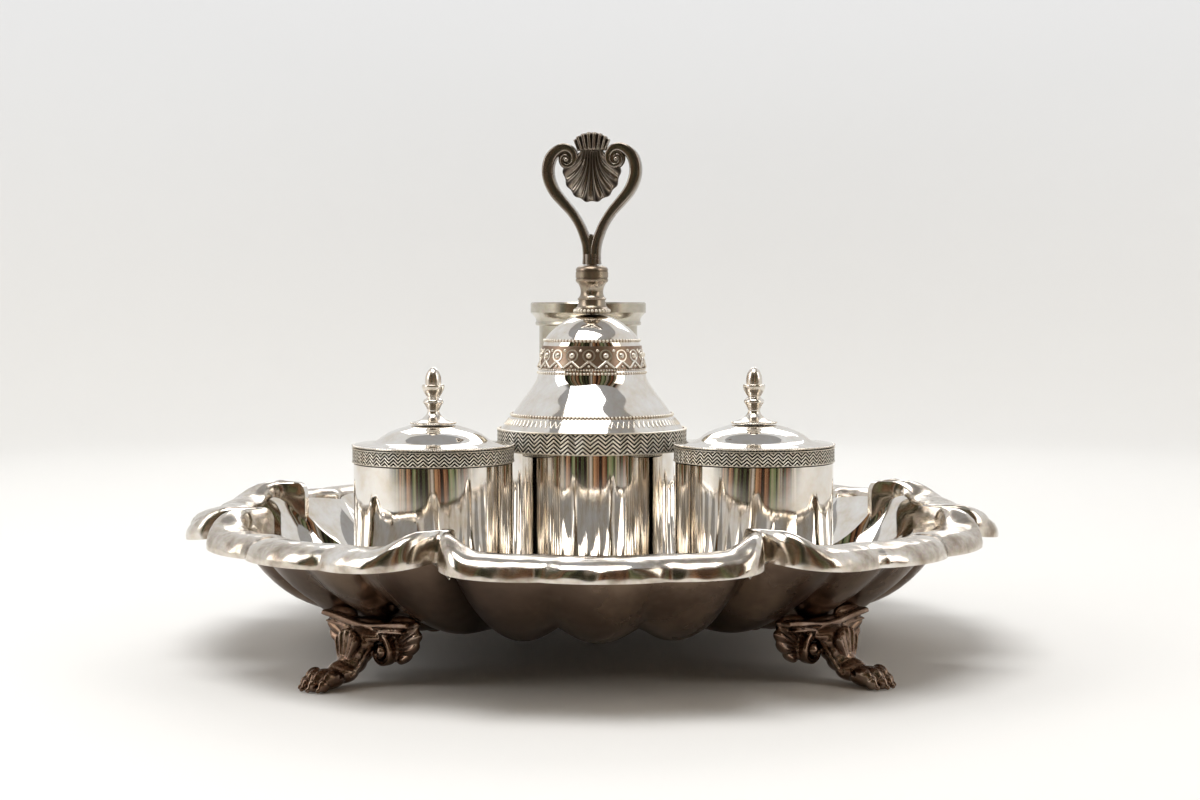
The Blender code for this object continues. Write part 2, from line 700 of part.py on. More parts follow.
def ink_liner():
    """A glass cup inside the left pot with a shoulder and a narrower mouth."""
    x, y = SEATS["inkwell"]
    low = SEAT_Z + POT_FLOOR + REST_GAP
    top = POT_TOP_Z
    outer = POT_RADIUS - POT_WALL - LINER_CLEARANCE
    neck = LINER_MOUTH_RADIUS + LINER_WALL
    shoulder = top - LINER_NECK
    profile = [
        (0, low), (outer, low), (outer, shoulder - LINER_WALL), (neck, shoulder),
        (neck, top), (LINER_MOUTH_RADIUS, top),
        (LINER_MOUTH_RADIUS, shoulder - LINER_WALL), (outer - LINER_WALL, shoulder - 2 * LINER_WALL),
        (outer - LINER_WALL, low + LINER_WALL), (0, low + LINER_WALL),
    ]
    object_of(turned(profile, SIDES, (x, y)), "inkwell_glass_liner", GLASS)


def sifter_plate():
    """A dished, pierced plate in the mouth of the right pot, hung on the pot's rim by its flange."""
    x, y = SEATS["pounce"]
    low = POT_TOP_Z + REST_GAP
    flange = BAND_RADIUS - BAND_WALL - REST_GAP
    wall = POT_RADIUS - POT_WALL - REST_GAP
    bottom = low - SIFTER_DISH
    profile = [
        (0, bottom), (SIFTER_RING_RADIUS, bottom + SIFTER_THICK / 2), (wall, low), (flange, low),
        (flange, low + SIFTER_THICK), (wall - SIFTER_THICK, low + SIFTER_THICK),
        (SIFTER_RING_RADIUS, bottom + SIFTER_THICK * 1.5), (0, bottom + SIFTER_THICK),
    ]
    plate = object_of(turned(profile, SIDES, (x, y)), "pounce_sifter_plate", WORN)
    places = [(x, y)]
    for i in range(SIFTER_HOLES):
        a = 2 * math.pi * i / SIFTER_HOLES
        places.append((x + SIFTER_RING_RADIUS * math.cos(a), y + SIFTER_RING_RADIUS * math.sin(a)))
    for i, place in enumerate(places):
        ends = [(*place, bottom - OVERRUN), (*place, low + OVERRUN)]
        boolean(plate, cutter_of(tube_between(*ends, SIFTER_HOLE_RADIUS, 8), f"sifter_hole_{i}"), "DIFFERENCE")


# The bell's outer side from the shoulder to the crown: shares of its mouth's radius and of its height
BELL_SHAPE_SHARES = (
    (1.000, 0.155), (0.927, 0.216), (0.826, 0.289), (0.755, 0.365),
    (0.666, 0.438), (0.602, 0.512), (0.578, 0.588),
    (0.537, 0.765), (0.491, 0.832), (0.383, 0.905), (0.220, 0.981), (0.110, 1.000),
)
CROWN_WALL_SHARE = 1.3  # the crown's thickness as a share of the wall
BELL_WALL_DROP_SHARE = 0.7  # how far the inner side sits below the outer, as a share of the wall


def bell_outer():
    """(radius, z) points of the bell's outer side, mouth to crown."""
    points = [(BELL_MOUTH_RADIUS * r, BELL_MOUTH_Z + BELL_HEIGHT * z) for r, z in BELL_SHAPE_SHARES]
    return [(BELL_MOUTH_RADIUS, BELL_MOUTH_Z), *points]


def bell_inner():
    """(radius, z) points of the bell's inner side, from the shoulder up."""
    return [(r - BELL_WALL, z - BELL_WALL * BELL_WALL_DROP_SHARE) for r, z in bell_outer()[1:-2]]


def stand_top():
    """The height at which the bell's inner side comes down on the stand's rim."""
    rim = STAND_RADIUS + REST_GAP
    for (r1, z1), (r2, z2) in zip(bell_inner(), bell_inner()[1:]):
        if r1 >= rim > r2:
            return z1 + (z2 - z1) * (r1 - rim) / (r1 - r2)
    return BELL_MOUTH_Z


def bell_stand():
    body = turned(cup_profile(STAND_RADIUS, STAND_WALL, STAND_FLOOR, stand_top()), FINE_SIDES)
    object_of(body, "bell_stand_body", POLISHED)
    cap_nut("bell_stand_nut", (0, 0))


def bell():
    """The bell shell, its band, the ferrule, the clapper and the handle."""
    outer, inner = bell_outer(), bell_inner()
    hole = STUD_RADIUS + REST_GAP
    crown = outer[-1][1]
    crown_under = crown - BELL_WALL * CROWN_WALL_SHARE
    profile = [
        *outer[:-1], (hole, crown), (hole, crown_under), (CROWN_SEAT_RADIUS + REST_GAP, crown_under),
        *reversed(inner), (BELL_MOUTH_RADIUS - BELL_WALL, BELL_MOUTH_Z),
    ]
    object_of(turned_ring(profile, FINE_SIDES), "bell_body", POLISHED)

    near = BELL_MOUTH_RADIUS + REST_GAP
    top = BELL_MOUTH_Z + BELL_BAND_HEIGHT
    ring = [(near, BELL_MOUTH_Z), (near + BELL_BAND_WALL, BELL_MOUTH_Z), (near + BELL_BAND_WALL, top), (near, top)]
    object_of(turned_ring(ring, FINE_SIDES), "bell_mouth_band", WORN)
    ferrule(crown + REST_GAP, hole)
    clapper(crown)
    handle(crown + REST_GAP + FERRULE_HEIGHT + REST_GAP)


# The ferrule: shares of its widest ring and of its height, and its sockets' depths
FERRULE_SHAPE_SHARES = (
    (1.00, 0.00), (1.00, 0.10), (0.80, 0.13), (0.72, 0.31), (0.80, 0.34),
    (0.62, 0.40), (0.60, 0.58), (0.74, 0.66),
    (0.86, 0.68), (0.90, 0.83), (0.86, 0.97), (0.55, 1.00),
)
LOWER_SOCKET_SHARE = 0.25
UPPER_SOCKET_SHARE = 0.70


def ferrule(low, hole):
    outer = [(FERRULE_RADIUS * r, low + FERRULE_HEIGHT * z) for r, z in FERRULE_SHAPE_SHARES]
    lower_roof = low + FERRULE_HEIGHT * LOWER_SOCKET_SHARE
    upper_floor = low + FERRULE_HEIGHT * UPPER_SOCKET_SHARE
    top = low + FERRULE_HEIGHT
    lower_socket = [(0, lower_roof), (hole, lower_roof), (hole, low)]
    upper_socket = [(hole, top), (hole, upper_floor), (0, upper_floor)]
    profile = [*lower_socket, *outer, *upper_socket]
    object_of(turned(profile, SIDES), "bell_ferrule", WORN)


def clapper(crown):
    """A staple whose stud goes up through the crown, and the rod and ball that swing on it along X."""
    under = crown - BELL_WALL * CROWN_WALL_SHARE - REST_GAP
    plate = under - BELL_WALL
    eye = under - STAPLE_DROP
    stud_top = crown + REST_GAP + FERRULE_HEIGHT * LOWER_SOCKET_SHARE - REST_GAP
    profile = [
        (0, plate), (CROWN_SEAT_RADIUS, plate), (CROWN_SEAT_RADIUS, under),
        (STUD_RADIUS, under), (STUD_RADIUS, stud_top),
        (0, stud_top),
    ]
    shapes = [turned(profile, SMALL_SIDES)]
    foot = eye - STAPLE_WIRE
    for side in (-1, 1):
        y = side * STAPLE_HALF_WIDTH
        shapes.append(tube_between((0, y, foot), (0, y, plate + BELL_WALL / 2), STAPLE_WIRE, 8))
    reach = STAPLE_HALF_WIDTH + STAPLE_WIRE / 2
    shapes.append(tube_between((0, -reach, eye), (0, reach, eye), STAPLE_WIRE * STAPLE_BAR_SHARE, PIN_SIDES))
    joined("clapper_staple", shapes, WORN)

    bore = STAPLE_WIRE * STAPLE_BAR_SHARE + RUN_GAP
    half = STAPLE_HALF_WIDTH - STAPLE_WIRE - REST_GAP
    low = eye - ROD_LENGTH
    ring = tube_between((0, -half, eye), (0, half, eye), ROD_EYE_RADIUS, SMALL_SIDES)
    rod = tube_between((0, 0, low), (0, 0, eye - (bore + ROD_EYE_RADIUS) / 2), ROD_RADIUS, PIN_SIDES)
    made = joined("clapper_rod", [rod, ring], WORN)
    hole = tube_between((0, -half - OVERRUN, eye), (0, half + OVERRUN, eye), bore, PIN_SIDES)
    boolean(made, cutter_of(hole, "clapper_rod_bore"), "DIFFERENCE")
    shape = ellipsoid((0, 0, low), (BALL_RADIUS, BALL_RADIUS, BALL_RADIUS), SMALL_SIDES, 10)
    ball = object_of(shape, "clapper_ball", WORN)
    top = low + BALL_RADIUS + OVERRUN
    socket = tube_between((0, 0, low - REST_GAP), (0, 0, top), ROD_RADIUS + REST_GAP, PIN_SIDES)
    boolean(ball, cutter_of(socket, "clapper_ball_socket"), "DIFFERENCE")


# The heart's right arm: shares of its half width and of the handle's height, from the stem up to the scroll
ARM_SHARES = (
    (0.020, 0.130), (0.127, 0.210), (0.293, 0.338), (0.694, 0.490),
    (0.866, 0.640), (0.892, 0.717), (0.850, 0.790),
    (0.670, 0.855), (0.500, 0.865), (0.500, 0.795),
)
# The shell: (half width, height) shares of its own half width and of the handle's height
SHELL_SHARES = (
    (0.00, 0.459), (0.45, 0.490), (0.80, 0.600), (0.98, 0.720), (0.90, 0.790),
    (0.60, 0.860), (0.62, 0.950), (0.34, 0.990),
    (0.00, 1.000),
)
SCROLL_DEPTH_SHARE = 1.1  # the scroll's depth as a share of the bar's


def bar_along(points, half_width, half_depth):
    """A flat bar with square section along points in the XZ plane."""
    bm = bmesh.new()
    rings = []
    for i, (x, z) in enumerate(points):
        before, after = points[max(i - 1, 0)], points[min(i + 1, len(points) - 1)]
        dx, dz = after[0] - before[0], after[1] - before[1]
        length = math.hypot(dx, dz)
        nx, nz = -dz / length * half_width, dx / length * half_width
        left, right = (x - nx, z - nz), (x + nx, z + nz)
        corners = [(left, -half_depth), (right, -half_depth), (right, half_depth), (left, half_depth)]
        rings.append([bm.verts.new((cx, depth, cz)) for (cx, cz), depth in corners])
    skin_rings(bm, rings)
    bm.faces.new(tuple(reversed(rings[0])))
    bm.faces.new(rings[-1])
    return bm


def handle(low):
    """The heart of two flat arms, with the shell between their scrolls, on a tang in the ferrule."""
    height = HANDLE_HEIGHT
    tang = low - FERRULE_HEIGHT * (1 - UPPER_SOCKET_SHARE) + REST_GAP
    stem_top = low + height * ARM_SHARES[1][1]
    stem = [(STEM_RADIUS, low), (STEM_RADIUS, stem_top), (0, stem_top)]
    profile = [(0, tang), (TANG_RADIUS, tang), (TANG_RADIUS, low), *stem]
    shapes = [turned(profile, SMALL_SIDES)]
    for side in (-1, 1):
        points = [(side * HANDLE_HALF_WIDTH * x, low + height * z) for x, z in ARM_SHARES]
        shapes.append(bar_along(points, HANDLE_BAR / 2, HANDLE_DEPTH / 2))
        x, z = points[-1]
        reach = HANDLE_DEPTH / 2 * SCROLL_DEPTH_SHARE
        shapes.append(tube_between((x, -reach, z), (x, reach, z), SCROLL_RADIUS, SMALL_SIDES))
    half = [(SHELL_HALF_WIDTH * x, low + height * z) for x, z in SHELL_SHARES]
    outline = half + [(-x, z) for x, z in reversed(half[1:-1])]
    bm = bmesh.new()
    front = [bm.verts.new((x, -SHELL_THICK / 2, z)) for x, z in outline]
    back = [bm.verts.new((x, SHELL_THICK / 2, z)) for x, z in outline]
    bm.faces.new(front)
    bm.faces.new(tuple(reversed(back)))
    skin_rings(bm, [front, back])
    shapes.append(bm)
    for shape in shapes:
        bmesh.ops.transform(shape, matrix=Matrix.Rotation(HANDLE_YAW, 4, "Z"), verts=shape.verts)
    joined("bell_handle", shapes, DARK_CAST)


def quill_holder():
    x, y = SEATS["quill"]
    body = turned(cup_profile(QUILL_RADIUS, QUILL_WALL, QUILL_FLOOR, QUILL_TOP_Z - FLANGE_HEIGHT), SIDES, (x, y))
    object_of(body, "quill_tube", POLISHED)
    cap_nut("quill_nut", (x, y))
    low = QUILL_TOP_Z - FLANGE_HEIGHT + REST_GAP
    cove = low - COVE_HEIGHT
    near = QUILL_RADIUS + REST_GAP
    mouth = QUILL_RADIUS - QUILL_WALL
    profile = [
        (mouth, low), (near, low), (near, cove),
        (near + BAND_WALL, cove), (near + BAND_WALL, low - COVE_HEIGHT * COVE_LIP_SHARE),
        (FLANGE_RADIUS, low), (FLANGE_RADIUS, QUILL_TOP_Z), (mouth, QUILL_TOP_Z),
    ]
    object_of(turned_ring(profile, SIDES, (x, y)), "quill_flange", POLISHED)


def main():
    for old in list(bpy.data.objects):
        bpy.data.objects.remove(old)
    dish_bowl()
    dish_border()
    feet(underside_cutter("foot_seat_cutter"))
    for which in ("inkwell", "pounce"):
        pot(which)
        lid(which)
    ink_liner()
    sifter_plate()
    bell_stand()
    bell()
    quill_holder()


main()
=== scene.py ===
# A silver inkstand: a fluted dish on paw feet with two lidded pots, a bell on its stand and a quill holder.
# Metres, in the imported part's own frame. The front looks to -Y.
import json
import math
import bpy
import numpy as np
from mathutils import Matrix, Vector


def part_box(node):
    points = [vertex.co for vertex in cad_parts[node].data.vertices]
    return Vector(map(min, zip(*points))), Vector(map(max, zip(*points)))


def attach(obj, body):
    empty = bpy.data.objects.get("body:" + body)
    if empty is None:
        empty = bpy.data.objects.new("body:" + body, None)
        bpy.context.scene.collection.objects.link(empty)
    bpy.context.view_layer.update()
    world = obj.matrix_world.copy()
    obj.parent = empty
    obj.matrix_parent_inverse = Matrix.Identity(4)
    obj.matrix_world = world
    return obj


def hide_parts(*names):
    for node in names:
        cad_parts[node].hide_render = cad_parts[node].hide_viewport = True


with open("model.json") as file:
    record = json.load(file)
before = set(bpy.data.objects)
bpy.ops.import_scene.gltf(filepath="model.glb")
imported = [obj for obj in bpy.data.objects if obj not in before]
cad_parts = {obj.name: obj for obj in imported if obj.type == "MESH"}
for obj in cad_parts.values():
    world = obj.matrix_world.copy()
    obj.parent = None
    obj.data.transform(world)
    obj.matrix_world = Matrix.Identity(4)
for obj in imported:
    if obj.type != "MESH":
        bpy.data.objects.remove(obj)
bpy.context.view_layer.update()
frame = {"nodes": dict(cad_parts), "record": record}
mm = 0.001


# Small helpers
def toLinear(hexColour):
    parts = [int(hexColour[i:i + 2], 16) / 255 for i in (1, 3, 5)]
    linear = [c / 12.92 if c <= 0.04045 else ((c + 0.055) / 1.055) ** 2.4 for c in parts]
    return (*linear, 1)


def addNode(tree, kind, inputs=None, stops=(), **settings):
    # adds a node, sets it, fills or links its inputs, and lays a ramp's (place, colour) stops. Inputs go by name,
    # or by number where several share a name, as a Mix node's 0 share, 6 first colour and 7 second colour do
    node = tree.nodes.new(kind)
    for name, value in settings.items():
        setattr(node, name, value)
    for name, value in (inputs or {}).items():
        if isinstance(value, bpy.types.NodeSocket):
            tree.links.new(value, node.inputs[name])
        else:
            node.inputs[name].default_value = value
    for i, (place, colour) in enumerate(stops):
        stop = node.color_ramp.elements[0] if i == 0 else node.color_ramp.elements.new(place)
        stop.position, stop.color = place, toLinear(colour)
    if stops:
        node.color_ramp.elements.remove(node.color_ramp.elements[-1])
    return node


def newMaterial(name):
    made = bpy.data.materials.new(name)
    made.use_nodes = True
    return made, made.node_tree, made.node_tree.nodes["Principled BSDF"]


def texturePlace(tree, place=(0, 0, 0)):
    # a pattern's place on the piece, in metres from a point on the piece's axis
    coordinates = addNode(tree, "ShaderNodeTexCoord").outputs["Object"]
    return addNode(tree, "ShaderNodeVectorMath", {0: coordinates, 1: place}, operation="SUBTRACT").outputs[0]


# The studio: a pale round sweep, a big soft lamp overhead and two softer ones at the sides
studio = {
    "floorRadius": 1.25, "cornerRadius": 0.30, "wallHeight": 1.9, "cornerSteps": 8, "sides": 96,
    "floor": "#f1f1f0", "glow": "#fbfbfb", "wall": 0.86, "wallFar": 0.62, "glowRise": 0.5,
    "air": "#f5f5f6", "airStrength": 0.42, "lampsAimAt": (0, 0, 0.05),
    "roomFrom": -0.62, "roomTo": -0.24, "streakWidth": 0.17,
    "streaks": [(0.30, "#efe6dc"), (0.37, "#4c463c"), (0.42, "#b9a48e"), (0.46, "#6d8155"), (0.49, "#2c1d16"),
                (0.54, "#211a1a"), (0.58, "#7c4f36"), (0.63, "#c79b74"), (0.67, "#5a3b28"), (0.74, "#f0dcc6")],
}


def deselectAll():
    if bpy.context.object and bpy.context.object.mode == "EDIT":
        bpy.ops.object.mode_set(mode="OBJECT")
    bpy.ops.object.select_all(action="DESELECT")


def pickUp(piece):
    deselectAll()
    piece.select_set(True)
    bpy.context.view_layer.objects.active = piece


def settle(piece):
    # place, turn and size go into the mesh
    pickUp(piece)
    bpy.ops.object.transform_apply(location=True, rotation=True, scale=True)


def takeIntoEdit():
    bpy.ops.object.mode_set(mode="EDIT")
    bpy.ops.mesh.select_all(action="SELECT")


def sweepMaterial():
    # matt paper: no gloss, pale wherever a camera sees it. Metal sees the darker room in front of the object instead
    material, tree, shader = newMaterial("matt paper sweep")
    place = addNode(tree, "ShaderNodeTexCoord").outputs["Object"]
    split = addNode(tree, "ShaderNodeSeparateXYZ", {0: place})
    back = addNode(tree, "ShaderNodeMapRange", {
        "Value": split.outputs["Y"], "From Min": studio["roomFrom"], "From Max": studio["roomTo"],
    }, interpolation_type="SMOOTHSTEP").outputs[0]
    rays = addNode(tree, "ShaderNodeLightPath")
    back = addNode(tree, "ShaderNodeMath", {0: back, 1: rays.outputs["Is Camera Ray"]},
                   operation="MAXIMUM").outputs[0]
    shader.inputs["Roughness"].default_value = 1
    shader.inputs["Specular IOR Level"].default_value = 0
    # the room that the polished metal shows: tall furniture and curtains, in brown, olive and grey
    front = addNode(tree, "ShaderNodeMath", {0: split.outputs["Y"], 1: -1}, operation="MULTIPLY").outputs[0]
    turn = addNode(tree, "ShaderNodeMath", {0: split.outputs["X"], 1: front}, operation="ARCTAN2").outputs[0]
    turn = addNode(tree, "ShaderNodeMath", {0: turn, 1: studio["streakWidth"]}, operation="DIVIDE").outputs[0]
    streak = addNode(tree, "ShaderNodeTexNoise", {"W": turn, "Scale": 1, "Detail": 2}, noise_dimensions="1D")
    room = addNode(tree, "ShaderNodeValToRGB", {"Fac": streak.outputs["Fac"]}, studio["streaks"]).outputs["Color"]
    colour = addNode(tree, "ShaderNodeMix", {0: back, 6: room, 7: toLinear(studio["floor"])}, data_type="RGBA")
    tree.links.new(colour.outputs[2], shader.inputs["Base Color"])
    seen = rays.outputs["Is Camera Ray"]
    for kind in ("Is Glossy Ray", "Is Transmission Ray"):
        seen = addNode(tree, "ShaderNodeMath", {0: seen, 1: rays.outputs[kind]}, operation="ADD",
                       use_clamp=True).outputs[0]
    high = addNode(tree, "ShaderNodeMapRange", {
        "Value": split.outputs["Z"], "From Min": 0.0, "From Max": studio["glowRise"],
    }, interpolation_type="SMOOTHSTEP").outputs[0]
    glow = addNode(tree, "ShaderNodeMapRange", {
        "Value": back, "To Min": studio["wallFar"], "To Max": studio["wall"],
    }).outputs[0]
    white = addNode(tree, "ShaderNodeMix", {0: back, 6: room, 7: toLinear(studio["glow"])}, data_type="RGBA")
    paper = addNode(tree, "ShaderNodeEmission", {"Color": white.outputs[2], "Strength": glow})
    share = addNode(tree, "ShaderNodeMath", {0: seen, 1: high}, operation="MULTIPLY").outputs[0]
    both = addNode(tree, "ShaderNodeMixShader", {0: share, 1: shader.outputs[0], 2: paper.outputs[0]})
    tree.links.new(both.outputs[0], tree.nodes["Material Output"].inputs["Surface"])
    return material


def makeSweep():
    deselectAll()
    bpy.ops.mesh.primitive_circle_add(
        vertices=studio["sides"], radius=studio["floorRadius"] - studio["cornerRadius"], fill_type="NGON",
        location=(0, 0, 0))
    sweep = bpy.context.object
    sweep.name = "paper_sweep"
    bpy.ops.object.mode_set(mode="EDIT")
    bpy.ops.mesh.select_all(action="SELECT")
    bpy.ops.mesh.region_to_loop()
    radius, height = studio["floorRadius"] - studio["cornerRadius"], 0
    for i in range(1, studio["cornerSteps"] + 1):
        a = math.pi / 2 * i / studio["cornerSteps"]
        wide = studio["floorRadius"] + studio["cornerRadius"] * (math.sin(a) - 1)
        tall = studio["cornerRadius"] * (1 - math.cos(a))
        bpy.ops.mesh.extrude_region_move(TRANSFORM_OT_translate={"value": (0, 0, tall - height)})
        bpy.ops.transform.resize(value=(wide / radius, wide / radius, 1))
        radius, height = wide, tall
    bpy.ops.mesh.extrude_region_move(TRANSFORM_OT_translate={"value": (0, 0, studio["wallHeight"] - height)})
    bpy.ops.mesh.select_all(action="SELECT")
    bpy.ops.mesh.normals_make_consistent(inside=True)
    bpy.ops.object.mode_set(mode="OBJECT")
    bpy.ops.object.shade_smooth()
    sweep.data.materials.append(sweepMaterial())


lamps = {  # place, size, watts, colour
    "overhead": ((-0.15, -0.30, 1.15), (0.80, 0.60), 8.9, "#fefdfb"),
    "left": ((-1.00, -0.25, 0.60), (0.45, 0.80), 3.3, "#fffcf8"),
    "right": ((0.95, -0.45, 0.55), (0.35, 0.80), 2.2, "#fff8ef"),
    "back": ((0.10, 0.85, 0.75), (0.90, 0.40), 3.0, "#ffffff"),
}


def makeLamps():
    for name, (place, size, watts, colour) in lamps.items():
        light = bpy.data.lights.new(name + "_softbox", "AREA")
        light.shape, light.size, light.size_y, light.energy = "RECTANGLE", *size, watts
        light.color = toLinear(colour)[:3]
        lamp = bpy.data.objects.new(name + "_softbox", light)
        lamp.location = place
        lamp.rotation_euler = (Vector(studio["lampsAimAt"]) - Vector(place)).to_track_quat("-Z", "Y").to_euler()
        lamp.visible_camera = False
        bpy.context.scene.collection.objects.link(lamp)
    world = bpy.data.worlds.new("studio air")
    world.use_nodes = True
    world.node_tree.nodes["Background"].inputs["Color"].default_value = toLinear(studio["air"])
    world.node_tree.nodes["Background"].inputs["Strength"].default_value = studio["airStrength"]
    bpy.context.scene.world = world


# The camera: a short telephoto, a little above the lids, turned slightly to the right of the dish's middle
photoCamera = {"across": -13.6 * mm, "away": 600 * mm, "height": 105 * mm, "lens": 57.4, "film": 36,
               "down": 2.75, "turn": -1.54, "nearest": 20 * mm}  # turned and tilted in degrees


def makeCamera():
    view = bpy.data.cameras.new("photo_camera")
    view.sensor_width, view.lens = photoCamera["film"], photoCamera["lens"]
    view.clip_start = photoCamera["nearest"]
    view.dof.use_dof = False
    camera = bpy.data.objects.new("photo_camera", view)
    camera.location = (photoCamera["across"], -photoCamera["away"], photoCamera["height"])
    camera.rotation_euler = (math.radians(90 - photoCamera["down"]), 0, math.radians(photoCamera["turn"]))
    bpy.context.scene.collection.objects.link(camera)
    bpy.context.scene.camera = camera
    bpy.context.scene.view_settings.view_transform = "Standard"


makeSweep()
makeLamps()
makeCamera()
print("studio and camera made")


# Finishes. Old silver: sheet and castings, hand polished, with oxide left in every groove
silver = {  # sizes in mm, and where in the clouds' noise each tone lies
    "cloud": 9, "mottle": 1.2, "mottleShare": 0.10, "warmAt": 0.30, "plainAt": 0.52, "coolAt": 0.75,
    "scratch": 0.9, "scratchStretch": 9, "scratchDepth": 0.003, "scratchStrength": 0.2,
}


def silverTones(tree, place, polish):
    # warm tarnish in soft clouds and a fine mottle, over the plain metal's pale grey. Tarnished places are rougher
    clouds = addNode(tree, "ShaderNodeTexNoise", {
        "Vector": place, "Scale": 1 / (silver["cloud"] * mm), "Detail": 4, "Roughness": 0.6,
    }).outputs["Fac"]
    mottle = addNode(tree, "ShaderNodeTexNoise", {
        "Vector": place, "Scale": 1 / (silver["mottle"] * mm), "Detail": 3,
    }).outputs["Color"]
    stops = [(silver[tone + "At"], polish[tone]) for tone in ("warm", "plain", "cool")]
    tone = addNode(tree, "ShaderNodeValToRGB", {"Fac": clouds}, stops).outputs["Color"]
    tone = addNode(tree, "ShaderNodeMix", {0: silver["mottleShare"], 6: tone, 7: mottle}, data_type="RGBA",
                   blend_type="OVERLAY").outputs[2]
    smooth, rough = polish["rough"]
    rough = addNode(tree, "ShaderNodeMapRange", {
        "Value": clouds, "From Min": silver["warmAt"], "From Max": silver["coolAt"],
        "To Min": rough, "To Max": smooth,
    }).outputs[0]
    return tone, rough


def waveBump(tree, place, polish):
    # hand raised metal is never quite even: slow waves, and wiping scratches finer than the eye sees
    slow = addNode(tree, "ShaderNodeTexNoise", {"Vector": place, "Scale": 1 / (polish["wave"] * mm), "Detail": 1})
    waves = addNode(tree, "ShaderNodeBump", {
        "Height": slow.outputs["Fac"], "Strength": 1, "Distance": polish["depth"] * mm,
    }).outputs[0]
    stretched = addNode(tree, "ShaderNodeVectorMath", {0: place, 1: (1, 1, silver["scratchStretch"])},
                        operation="MULTIPLY").outputs[0]
    fine = addNode(tree, "ShaderNodeTexNoise", {
        "Vector": stretched, "Scale": 1 / (silver["scratch"] * mm), "Detail": 2,
    }).outputs["Fac"]
    return addNode(tree, "ShaderNodeBump", {
        "Height": fine, "Strength": silver["scratchStrength"], "Distance": silver["scratchDepth"] * mm,
        "Normal": waves,
    }).outputs[0]


def finishSilver(name, polish, place=(0, 0, 0)):
    material, tree, shader = newMaterial(name)
    where = texturePlace(tree, place)
    tone, rough = silverTones(tree, where, polish)
    if polish.get("grooves"):
        tone, rough = oxideInGrooves(tree, tone, rough, polish["grooves"])
    shader.inputs["Metallic"].default_value = 1
    tree.links.new(tone, shader.inputs["Base Color"])
    tree.links.new(rough, shader.inputs["Roughness"])
    tree.links.new(waveBump(tree, where, polish), shader.inputs["Normal"])
    return material


def oxideInGrooves(tree, tone, rough, grooves):
    # dark silver sulphide stays where a cloth can't reach: the mesh's own hollows, by pointiness
    sharp = addNode(tree, "ShaderNodeNewGeometry").outputs["Pointiness"]
    dark = addNode(tree, "ShaderNodeMapRange", {
        "Value": sharp, "From Min": grooves["deep"], "From Max": grooves["open"], "To Min": 1, "To Max": 0,
    }, interpolation_type="SMOOTHSTEP").outputs[0]
    tone = addNode(tree, "ShaderNodeMix", {0: dark, 6: tone, 7: toLinear(grooves["oxide"])},
                   data_type="RGBA").outputs[2]
    dark = addNode(tree, "ShaderNodeMath", {0: dark, 1: grooves["matt"]}, operation="MULTIPLY").outputs[0]
    rough = addNode(tree, "ShaderNodeMath", {0: rough, 1: dark}, operation="ADD", use_clamp=True).outputs[0]
    return tone, rough


# pointiness at which a hollow counts as blackened and as clean: finer meshes need a narrower span
chasedGrooves = {"deep": 0.42, "open": 0.50, "matt": 0.25, "oxide": "#3b322b"}
turnedGrooves = {"deep": 0.40, "open": 0.495, "matt": 0.25, "oxide": "#4a4038"}

polishes = {  # three tones, smoothest and roughest place, and the waves' length and height in mm
    # bright spun sheet: clear reflections, a little warm
    "spun": {"warm": "#d8cdbd", "plain": "#e4dfd8", "cool": "#ecebe8", "rough": (0.03, 0.08), "wave": 14,
             "depth": 0.05},
    # hinges and finials: buffed by hand only, so softer
    "raised": {"warm": "#d2c4b0", "plain": "#dfd8ce", "cool": "#e8e5e0", "rough": (0.14, 0.28), "wave": 9,
               "depth": 0.10},
    # pearls and chased work: too small to buff, so softer still
    "beaded": {"warm": "#d8cbb8", "plain": "#e3dccf", "cool": "#ebe8e2", "rough": (0.26, 0.38), "wave": 9,
               "depth": 0.04},
    # the tall tube: dulled by the fingers that lift quills out
    "grey": {"warm": "#a9a08f", "plain": "#bbb4a5", "cool": "#cac5ba", "rough": (0.16, 0.28), "wave": 16,
             "depth": 0.05},
    # turned work that gets handled little and stays brown
    "dull": {"warm": "#877868", "plain": "#a09382", "cool": "#b9afa2", "rough": (0.22, 0.34), "wave": 5,
             "depth": 0.05},
    # the applied border: cast and buffed
    "border": {"warm": "#97897a", "plain": "#d3cabe", "cool": "#ebe8e4", "rough": (0.11, 0.24), "wave": 9,
               "depth": 1.2},
}
print("silver finishes ready")


chevronCut = {  # shares of the way from one line of the nest to the middle between two
    "line": (0.20, 0.30), "valley": (0.05, 0.5), "oxide": "#0a0705", "roughness": 0.3,
}


